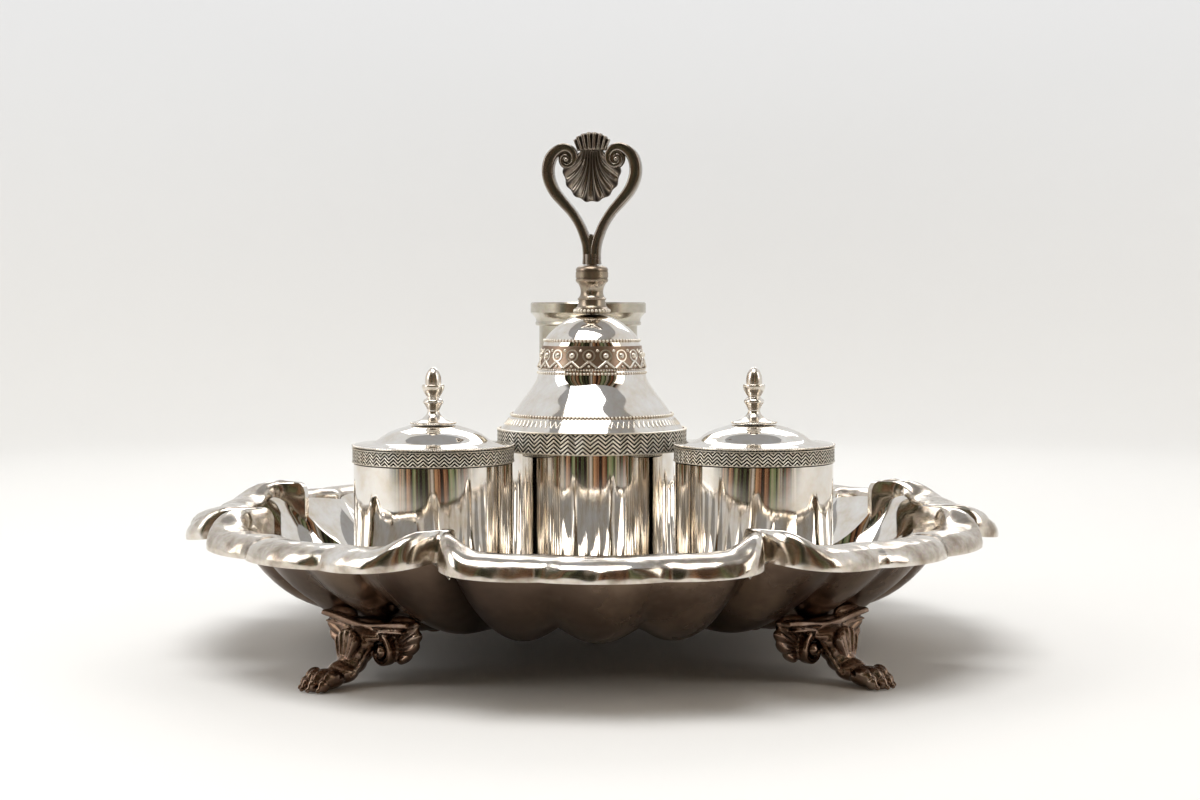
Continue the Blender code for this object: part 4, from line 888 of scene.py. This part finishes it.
def wrapGrid(name, radius, angle, height):
    # a closed ring about the dish's axis: rows go round the section, columns round the axis
    r, a, z = (np.column_stack([np.vstack([field, field[:1]]), np.append(field[:, 0], field[0, 0])])
               for field in (radius, angle, height))
    return shapeGrid(name, np.stack([r * np.cos(a), r * np.sin(a), z], axis=-1))


def dishGrid():
    share = lobeShares()
    angle = np.concatenate([(2 * k + share) * math.pi / dish["lobes"] for k in range(dish["lobes"])])
    return angle, np.tile(share, dish["lobes"])


def makeDish():
    angle, share = dishGrid()
    edge, rings = innerEdge(share), dish["rings"]
    steps = np.concatenate([np.linspace(0, 1, rings), np.linspace(1, 0, rings)])[:, None]
    radius = dish["hole"] + (edge - dish["hole"]) * steps ** dish["crowding"]
    angles = np.broadcast_to(angle, radius.shape)
    height = underHeight(radius, angles, share)
    height[:rings] += dish["sheet"]
    bowl = wrapGrid("dish_bowl", radius, angles, height)
    inside = finishSilver("hammered sheet silver of the dish", dict(polishes["spun"], wave=26))
    finishPiece(bowl, inside, "dish", "tray_bowl", smooth=50)
    bowl.data.materials.append(tarnishedUnderside())
    down = np.empty(len(bowl.data.polygons) * 3)
    bowl.data.polygons.foreach_get("normal", down)
    bowl.data.polygons.foreach_set("material_index", (down[2::3] < 0).astype(np.int32))

    # the border, with a knuckle on each side of a notch
    turn = (np.abs(share) - dish["turnStart"]) / (1 - dish["turnStart"])
    dip = smoothRise((turn - dish["dipStart"]) / (1 - dish["dipStart"]))
    hump = smoothRise(turn * dish["humpWidth"]) - dish["dip"] * dip
    low = dish["low"] + dish["lowRise"] * share ** 4
    crest = low + dish["crest"] + dish["hump"] * hump
    inner, outer = edge + dish["seamGap"], outerEdge(share)
    seam = underHeight(edge, angle, share) + dish["sheet"]
    radii = [inner + (outer - inner) * across for across, up in dish["section"]]
    heights = [low + (crest - low) * up for across, up in dish["section"]]
    heights[0] = np.maximum(heights[0], seam)
    under = seam - dish["underSeam"]
    for across in dish["underside"]:
        radii.append(inner + (outer - inner) * across)
        heights.append(under + (low + dish["sheet"] - under) * across)
    radii, heights = np.array(radii), np.array(heights)
    border = wrapGrid("dish_border", radii, np.broadcast_to(angle, radii.shape), heights)
    moulding = finishSilver("half-round silver moulding of the dish", polishes["border"])
    finishPiece(border, moulding, "dish", "tray_rim_moulding", smooth=50)
    print("dish made")


underside = {
    "cloudScale": 22,  # to the metre, so clouds some 45 mm wide
    "tones": [(0.30, "#4a3d35"), (0.50, "#6b5a4d"), (0.72, "#a08a76")],
    "roughness": [(0.3, "#b0b0b0"), (0.7, "#707070")],
}


def tarnishedUnderside():
    # silver that hands don't reach: brown-black sulphide in soft clouds
    material, tree, shader = newMaterial("tarnished silver of the underside")
    place = texturePlace(tree)
    cloud = addNode(tree, "ShaderNodeTexNoise", {
        "Vector": place, "Scale": underside["cloudScale"], "Detail": 5, "Roughness": 0.6,
    }).outputs["Fac"]
    for stops, socket in ((underside["tones"], "Base Color"), (underside["roughness"], "Roughness")):
        ramp = addNode(tree, "ShaderNodeValToRGB", {"Fac": cloud}, stops)
        tree.links.new(ramp.outputs["Color"], shader.inputs[socket])
    shader.inputs["Metallic"].default_value = 1
    tree.links.new(waveBump(tree, place, polishes["raised"]), shader.inputs["Normal"])
    return material


makeDish()


# The bell's handle: two flat arms bent to a heart, their ends curled in, and a fluted shell between them
handle = {
    "yaw": -13, "depth": 2.1, "webDepth": 2.0,
    "arm": [  # x, z, half width
        (1.15, 118.7, 1.65), (1.15, 121.5, 1.55), (1.45, 124.6, 1.50), (2.35, 127.6, 1.45), (3.9, 131.2, 1.40),
        (6.3, 134.9, 1.45), (9.2, 138.2, 1.60), (11.9, 141.5, 1.75), (13.5, 145.0, 1.85), (13.95, 148.4, 1.85),
        (13.2, 151.7, 1.80), (11.3, 154.0, 1.65), (8.9, 155.1, 1.45), (6.6, 154.5, 1.25), (5.35, 152.6, 1.05),
        (5.6, 150.4, 0.90), (7.2, 149.2, 0.80), (8.9, 149.8, 0.75), (9.3, 151.4, 0.70), (8.3, 152.4, 0.70),
        (7.4, 151.7, 0.65),
    ],
    "fan": {"flutes": 7, "start": (4.6, 154.0), "middle": (0, 154.9), "reach": (6.7, 5.1), "turn": 61, "up": 1,
            "bend": (1.1, 1.0), "body": 0.8, "relief": 1.0, "ridge": 1.3},
    "shell": {"flutes": 9, "start": (3.3, 155.0), "middle": (0, 148.6), "reach": (9.4, 10.7), "turn": 108, "up": -1,
              "bend": (2.1, 0.8), "body": 0.8, "relief": 1.1, "ridge": 2.2},
    "web": [(0, 119, 1.6), (0, 123, 1.9), (0, 125.4, 1.9), (0, 127.0, 1.1), (0, 128.0, 0.4)],
    "scrollEyes": [((7.9, 0, 151.2), (1.2, 2.5, 1.2), 20, 12),
                   ((7.5, 0, 151.6), (3.2, 1.35, 3.4), 32, 16)],  # place, radii, segments, rings
    "stem": [(2.75, 3.2, 120.2, 32), (1.6, 4.2, 116.6, 24)],  # radius, length, middle height, sides
    "finish": {"warm": "#776c62", "plain": "#8f867c", "cool": "#aaa298", "rough": (0.18, 0.30), "wave": 5,
               "depth": 0.05, "grooves": {"deep": 0.43, "open": 0.50, "matt": 0.25, "oxide": "#1f1915"}},
}


def bendBar(name, path, depth, sides=24, square=5):
    # a bar of soft-cornered section along a bent line of (x, z, half width) in the XZ plane
    line = np.array(softLine(path))
    run = np.gradient(line[:, :2], axis=0)
    run /= np.linalg.norm(run, axis=1)[:, None]
    turn = np.linspace(0, math.tau, sides + 1)[:, None]
    across = np.sign(np.cos(turn)) * np.abs(np.cos(turn)) ** (2 / square) * line[:, 2]
    out = np.sign(np.sin(turn)) * np.abs(np.sin(turn)) ** (2 / square) * depth
    out = np.broadcast_to(out, across.shape)
    return shapeGrid(name, np.stack([line[:, 0] - run[:, 1] * across, out, line[:, 1] + run[:, 0] * across],
                                    axis=-1))


fluting = {
    "columns": 10,  # to a flute
    "rows": [0, 0.01, 0.03, 0.07, *np.linspace(0.12, 0.88, 16), 0.93, 0.965, 0.985, 0.996, 1],  # start to edge
    "rib": 0.75, "scallop": 0.045, "startRelief": 0.35, "endRound": 10, "sideRound": 30,
}


def fluteFan(name, fan):
    # ribs that spread from a narrow start to a scalloped edge, the same in front and behind
    front = np.linspace(-1, 1, fan["flutes"] * fluting["columns"] + 1)
    share = np.concatenate([front, front[::-1][1:]])[:, None]
    side = np.concatenate([-np.ones_like(front), np.ones(len(front) - 1)])[:, None]
    along = np.array(fluting["rows"])
    turn = math.pi * fan["flutes"] * (share + 1) / 2
    rib = np.abs(np.cos(turn)) ** fan["ridge"] if "ridge" in fan else np.abs(np.sin(turn)) ** fluting["rib"]
    turn = np.radians(fan["turn"]) * share
    grow = 1 - fluting["scallop"] * (1 - rib)
    endX = fan["middle"][0] + fan["reach"][0] * np.sin(turn) * grow
    endZ = fan["middle"][1] + fan["up"] * fan["reach"][1] * np.cos(turn) * grow
    x = fan["start"][0] * share + (endX - fan["start"][0] * share) * along ** fan["bend"][0]
    z = fan["start"][1] + (endZ - fan["start"][1]) * along ** fan["bend"][1]
    full = np.sqrt(np.clip(1 - np.abs(2 * along - 1) ** fluting["endRound"], 0, 1))
    full = full * np.sqrt(np.clip(1 - np.abs(share) ** fluting["sideRound"], 0, 1))
    relief = fluting["startRelief"] + (1 - fluting["startRelief"]) * along
    thick = (fan["body"] + fan["relief"] * rib * relief) * full
    return shapeGrid(name, np.stack([x, side * thick, z], axis=-1))


def makeHandle():
    cast = finishSilver("oxidised cast silver of the handle", handle["finish"])
    right = bendBar("handle_arm_right", handle["arm"], handle["depth"])
    left = bendBar("handle_arm_left", [(-x, z, w) for x, z, w in handle["arm"]], handle["depth"])
    web = bendBar("handle_fork", handle["web"], handle["webDepth"])
    pieces = [right, left, web, fluteFan("handle_fan", handle["fan"]), fluteFan("handle_shell", handle["shell"])]
    for side in (-1, 1):
        for (x, y, z), radii, segments, rings in handle["scrollEyes"]:
            pieces.append(lump((side * x, y, z), radii, segments=segments, rings=rings))
    for radius, length, height, sides in handle["stem"]:
        bpy.ops.mesh.primitive_cylinder_add(vertices=sides, radius=radius * mm, depth=length * mm,
                                            location=(0, 0, height * mm))
        pieces.append(bpy.context.object)
    for piece in pieces:
        placePiece(piece, (0, 0, math.radians(handle["yaw"])), (0, 0, 0))
    finishPiece(joinPieces(pieces, "handle_heart_and_shell"), cast, "bell", "bell_handle",
                smooth=45)
    print("handle made")


makeHandle()


# The feet: cast lion paws with a leaf on the shin, fluted wings and a scroll on each side. Drawn pointing along
# +X and turned to their corners; places are (out from the dish's middle, across, up) in mm
foot = {
    "turns": {"foot_front_left": 225, "foot_front_right": 315, "foot_back_left": 135, "foot_back_right": 45},
    "leg": [  # place, radii
        ((91, 0, 13.3), (5.6, 7.6, 2.7)), ((93, 0, 11.6), (5.4, 5.2, 3.6)), ((95, 0, 8.8), (4.9, 4.3, 3.6)),
        ((97, 0, 6.2), (4.6, 3.9, 3.4)), ((100.3, 0, 4.1), (4.8, 4.3, 3.3)), ((106.0, 0, 2.9), (5.4, 5.1, 2.9)),
    ],
    "toes": [-3.9, -1.3, 1.3, 3.9], "toe": 110.4, "toeBack": 0.11,
    "toeLumps": [((-1.4, 3.5), (2.9, 1.22, 2.4), 14), ((1.2, 2.0), (1.9, 1.10, 1.9), 0),
                 ((3.0, 1.1), (1.2, 0.55, 0.8), 25)],  # knuckle, tip and claw: out and up, radii, tilt
    "tufts": {"count": 4, "first": (94.5, 4.9, 10.6), "step": (1.3, -0.25, -1.9), "radii": (3.4, 0.7, 0.55),
              "tilt": 38, "spread": 8},
    "plate": [((88.6, 0, 16.0), (3.4, 12, 1.9)), ((88.9, -13.4, 18.0), (2.2, 5.8, 1.7)),
              ((88.9, 13.4, 18.0), (2.2, 5.8, 1.7))],
    "cornice": [(-18.6, 17.9, 0.8), (-15, 17.6, 0.95), (-10, 17.0, 0.95), (-4, 16.1, 0.95), (0, 15.9, 0.95),
                (4, 16.1, 0.95), (10, 17.0, 0.95), (15, 17.6, 0.95), (18.6, 17.9, 0.8)],
    "fillet": [(-16.5, 15.8, 0.4), (-10, 15.2, 0.6), (-4, 14.1, 0.65), (0, 13.9, 0.65), (4, 14.1, 0.65),
               (10, 15.2, 0.6), (16.5, 15.8, 0.4)],
    "scroll": [(2.6, 11.6, 0.9), (4.2, 13.0, 1.1), (6.9, 13.7, 1.15), (9.5, 12.7, 1.05), (10.9, 10.2, 0.95),
               (10.2, 7.6, 0.85), (7.8, 6.3, 0.75), (5.3, 7.2, 0.65), (4.6, 9.2, 0.55)],
    "bars": {"cornice": (2.6, 90.5), "fillet": (2.0, 91.2), "scroll": (1.7, 91.5)},  # half depth, out
    "boss": (7.4, 9.6), "bossLumps": [(92.2, (1.9, 1.9, 1.9)), (89.5, (1.8, 3.0, 3.2))],
    "wing": {"flutes": 6, "start": (1.6, 0), "middle": (0, 3.2), "reach": (5.6, 10.6), "turn": 98, "up": 1,
             "bend": (1.0, 1.0), "body": 0.9, "relief": 0.9},
    "wingOut": 89, "wingTilt": 60,
    "leaf": {"flutes": 5, "start": (0.7, -6.2), "middle": (0, 0), "reach": (4.7, 5.0), "turn": 78, "up": 1,
             "bend": (0.8, 1.1), "body": 0.5, "relief": 1.3},
    "leafPlace": (98.6, 0, 11.2), "leafLean": -10,
    "voxel": 0.30, "underDish": 0.3,
    "finish": {"warm": "#65503f", "plain": "#80695a", "cool": "#ab9a8b", "rough": (0.15, 0.27), "wave": 4,
               "depth": 0.05, "grooves": {"deep": 0.42, "open": 0.51, "matt": 0.25, "oxide": "#17110d"}},
}


def facingOut(piece, out, across=0, up=0, tilt=0, lean=0):
    # from the XZ plane to stand across the foot, leaned back or turned about its own middle
    placePiece(piece, (math.radians(lean), math.radians(tilt), 0), (0, 0, 0))
    return placePiece(piece, (0, 0, math.pi / 2), (out * mm, across * mm, up * mm))


def castTogether(piece, voxel, soften=3):
    # one skin over all the lumps, softened as a sand casting is
    pickUp(piece)
    skin = piece.modifiers.new("cast skin", "REMESH")
    skin.mode, skin.voxel_size = "VOXEL", voxel * mm
    bpy.ops.object.modifier_apply(modifier=skin.name)
    soft = piece.modifiers.new("soft casting", "SMOOTH")
    soft.factor, soft.iterations = 0.5, soften
    bpy.ops.object.modifier_apply(modifier=soft.name)
    return piece


def lowerPoints(piece, limit):
    # limit gives each point's new height in metres
    places = np.empty(len(piece.data.vertices) * 3)
    piece.data.vertices.foreach_get("co", places)
    places[2::3] = limit(places[::3], places[1::3], places[2::3])
    piece.data.vertices.foreach_set("co", places)


def makeFoot():
    parts = [lump(*shape) for shape in foot["leg"] + foot["plate"]]
    for y in foot["toes"]:
        toe = foot["toe"] - foot["toeBack"] * y * y
        for (out, up), radii, tilt in foot["toeLumps"]:
            parts.append(lump((toe + out, y, up), radii, (0, tilt, 0)))
    tufts = foot["tufts"]
    for side in (-1, 1):
        for i in range(tufts["count"]):
            x, y, z = (start + i * step for start, step in zip(tufts["first"], tufts["step"]))
            parts.append(lump((x, side * y, z), tufts["radii"], (0, tufts["tilt"], side * tufts["spread"])))
        flip = [(side * y, z, w) for y, z, w in foot["scroll"]]
        depth, out = foot["bars"]["scroll"]
        parts.append(facingOut(bendBar("scroll", flip, depth), out))
        y, z = foot["boss"]
        parts += [lump((x, side * y, z), radii) for x, radii in foot["bossLumps"]]
        wing = fluteFan("wing", foot["wing"])
        parts.append(facingOut(wing, foot["wingOut"], side * y, z, tilt=side * foot["wingTilt"]))
    for name in ("cornice", "fillet"):
        depth, out = foot["bars"][name]
        parts.append(facingOut(bendBar(name, foot[name], depth), out))
    parts.append(facingOut(fluteFan("leaf", foot["leaf"]), *foot["leafPlace"], lean=foot["leafLean"]))
    cast = castTogether(joinPieces(parts, "lion_paw_foot"), foot["voxel"])
    lowerPoints(cast, lambda x, y, z: np.maximum(z, 0))  # it stands flat on the ground
    return cast


def underFlutes(x, y, z):
    # a soldered foot takes the shape of the flutes that it stands against
    angle = np.arctan2(y, x)
    share = (angle * dish["lobes"] / math.pi + 1) % 2 - 1
    return np.minimum(z, (underHeight(np.hypot(x, y) / mm, angle, share) - foot["underDish"]) * mm)


def makeFeet():
    dark = finishSilver("tarnished cast silver of the feet", foot["finish"])
    first = makeFoot()
    for node, turn in foot["turns"].items():
        pickUp(first)
        bpy.ops.object.duplicate()
        copy = bpy.context.object
        copy.name = node + "_casting"
        placePiece(copy, (0, 0, math.radians(turn)), (0, 0, 0))
        lowerPoints(copy, underFlutes)
        finishPiece(copy, dark, "dish", node, smooth=60)
    pickUp(first)
    bpy.ops.object.delete()
    print("feet made")


makeFeet()


# Small fittings: nuts under the dish, the ink's glass, hinge pins, the sand pot's plate and the clapper
nut = {
    "bore": 1.9, "depth": 3.0, "sides": 36, "tall": 4.8,
    "outside": [(2.5, 0), (2.8, 0.3), (2.8, 1.0), (2.62, 1.15), (2.62, 1.35), (2.8, 1.5), (2.8, 2.1), (2.62, 2.25),
                (2.62, 2.45), (2.8, 2.6), (2.8, 3.3), (2.6, 4.0), (2.0, 4.5), (1.2, 4.75), (0, 4.8)],
}
liner = {
    "outer": 21.95, "neck": 12.0, "wall": 2.0, "shoulder": 3.0, "sides": 96, "roughness": 0.04, "ior": 1.5,
    "clear": "#e9f2ec", "ink": "#1b2233", "stain": 8, "stainSwing": 9, "stainFrom": 30, "stainTo": 36,  # in mm
}


def makeNuts():
    dark = finishSilver("tarnished nut silver", dict(foot["finish"], grooves=turnedGrooves))
    for node in ("inkwell_nut", "pounce_nut", "bell_stand_nut", "quill_nut"):
        middle, (low, high) = roundSize(node)[0], roundSize(node)[2:]
        stretch = (high - low) / mm / nut["tall"]
        profile = [(0, nut["depth"]), (nut["bore"], nut["depth"]), (nut["bore"], 0), *nut["outside"]]
        piece = turnPiece(node + "_cap", inMm([(r, -z * stretch) for r, z in profile], high), middle, nut["sides"])
        finishPiece(piece, dark, "dish", node, smooth=40)


def makeLiner():
    # clear blown glass, a little green at the edge, stained by dried ink inside near the bottom
    middle, (base, top) = roundSize("inkwell_glass_liner")[0], roundSize("inkwell_glass_liner")[2:]
    material, tree, shader = newMaterial("old blown glass of the ink liner")
    place = texturePlace(tree, (*middle, 0))
    height = addNode(tree, "ShaderNodeSeparateXYZ", {0: place}).outputs["Z"]
    stain = addNode(tree, "ShaderNodeTexNoise", {
        "Vector": place, "Scale": 1 / (liner["stain"] * mm), "Detail": 4,
    }).outputs["Fac"]
    level = addNode(tree, "ShaderNodeMath", {0: stain, 1: liner["stainSwing"] * mm, 2: height},
                    operation="MULTIPLY_ADD").outputs[0]
    ink = addNode(tree, "ShaderNodeMapRange", {
        "Value": level, "From Min": liner["stainFrom"] * mm, "From Max": liner["stainTo"] * mm, "To Min": 1,
        "To Max": 0,
    }).outputs[0]
    colour = addNode(tree, "ShaderNodeMix", {0: ink, 6: toLinear(liner["clear"]), 7: toLinear(liner["ink"])},
                     data_type="RGBA")
    tree.links.new(colour.outputs[2], shader.inputs["Base Color"])
    shader.inputs["Transmission Weight"].default_value = 1
    shader.inputs["Roughness"].default_value = liner["roughness"]
    shader.inputs["IOR"].default_value = liner["ior"]
    base, top = base / mm, top / mm
    # outside from the base up to the mouth and back down inside; the small numbers round its corners
    r, neck, wall, shoulder = liner["outer"], liner["neck"], liner["wall"], top - liner["shoulder"]
    glass = turnPiece("ink_glass", inMm([
        (0, base), (r - 1, base), (r, base + 1), (r, shoulder - wall - 1.5), (r - 1.5, shoulder - wall),
        (neck + wall + 0.4, shoulder), (neck + wall, shoulder + 0.4), (neck + wall, top - 0.4),
        (neck + wall - 0.5, top), (neck + 0.4, top), (neck, top - 0.5), (neck, shoulder - wall),
        (r - wall - 1, shoulder - 2 * wall - 0.6), (r - wall, shoulder - 2 * wall - 2), (r - wall, base + wall + 1),
        (r - wall - 1, base + wall), (0, base + wall),
    ]), middle, liner["sides"])
    finishPiece(glass, material, "dish", "inkwell_glass_liner", smooth=50)


def dressKeptNodes():
    steel = finishSilver("bright hinge wire", polishes["raised"])
    plate = finishSilver("pierced sheet silver", polishes["raised"])
    worn = finishSilver("worn clapper silver", dict(handle["finish"], grooves=None))
    finishes = {"inkwell_hinge_pin": steel, "pounce_hinge_pin": steel, "pounce_sifter_plate": plate,
                "clapper_staple": worn, "clapper_rod": worn, "clapper_ball": worn}
    for node, material in finishes.items():
        mesh = frame["nodes"][node].data
        mesh.materials.clear()
        mesh.materials.append(material)


makeNuts()
makeLiner()
dressKeptNodes()
print("fittings made")
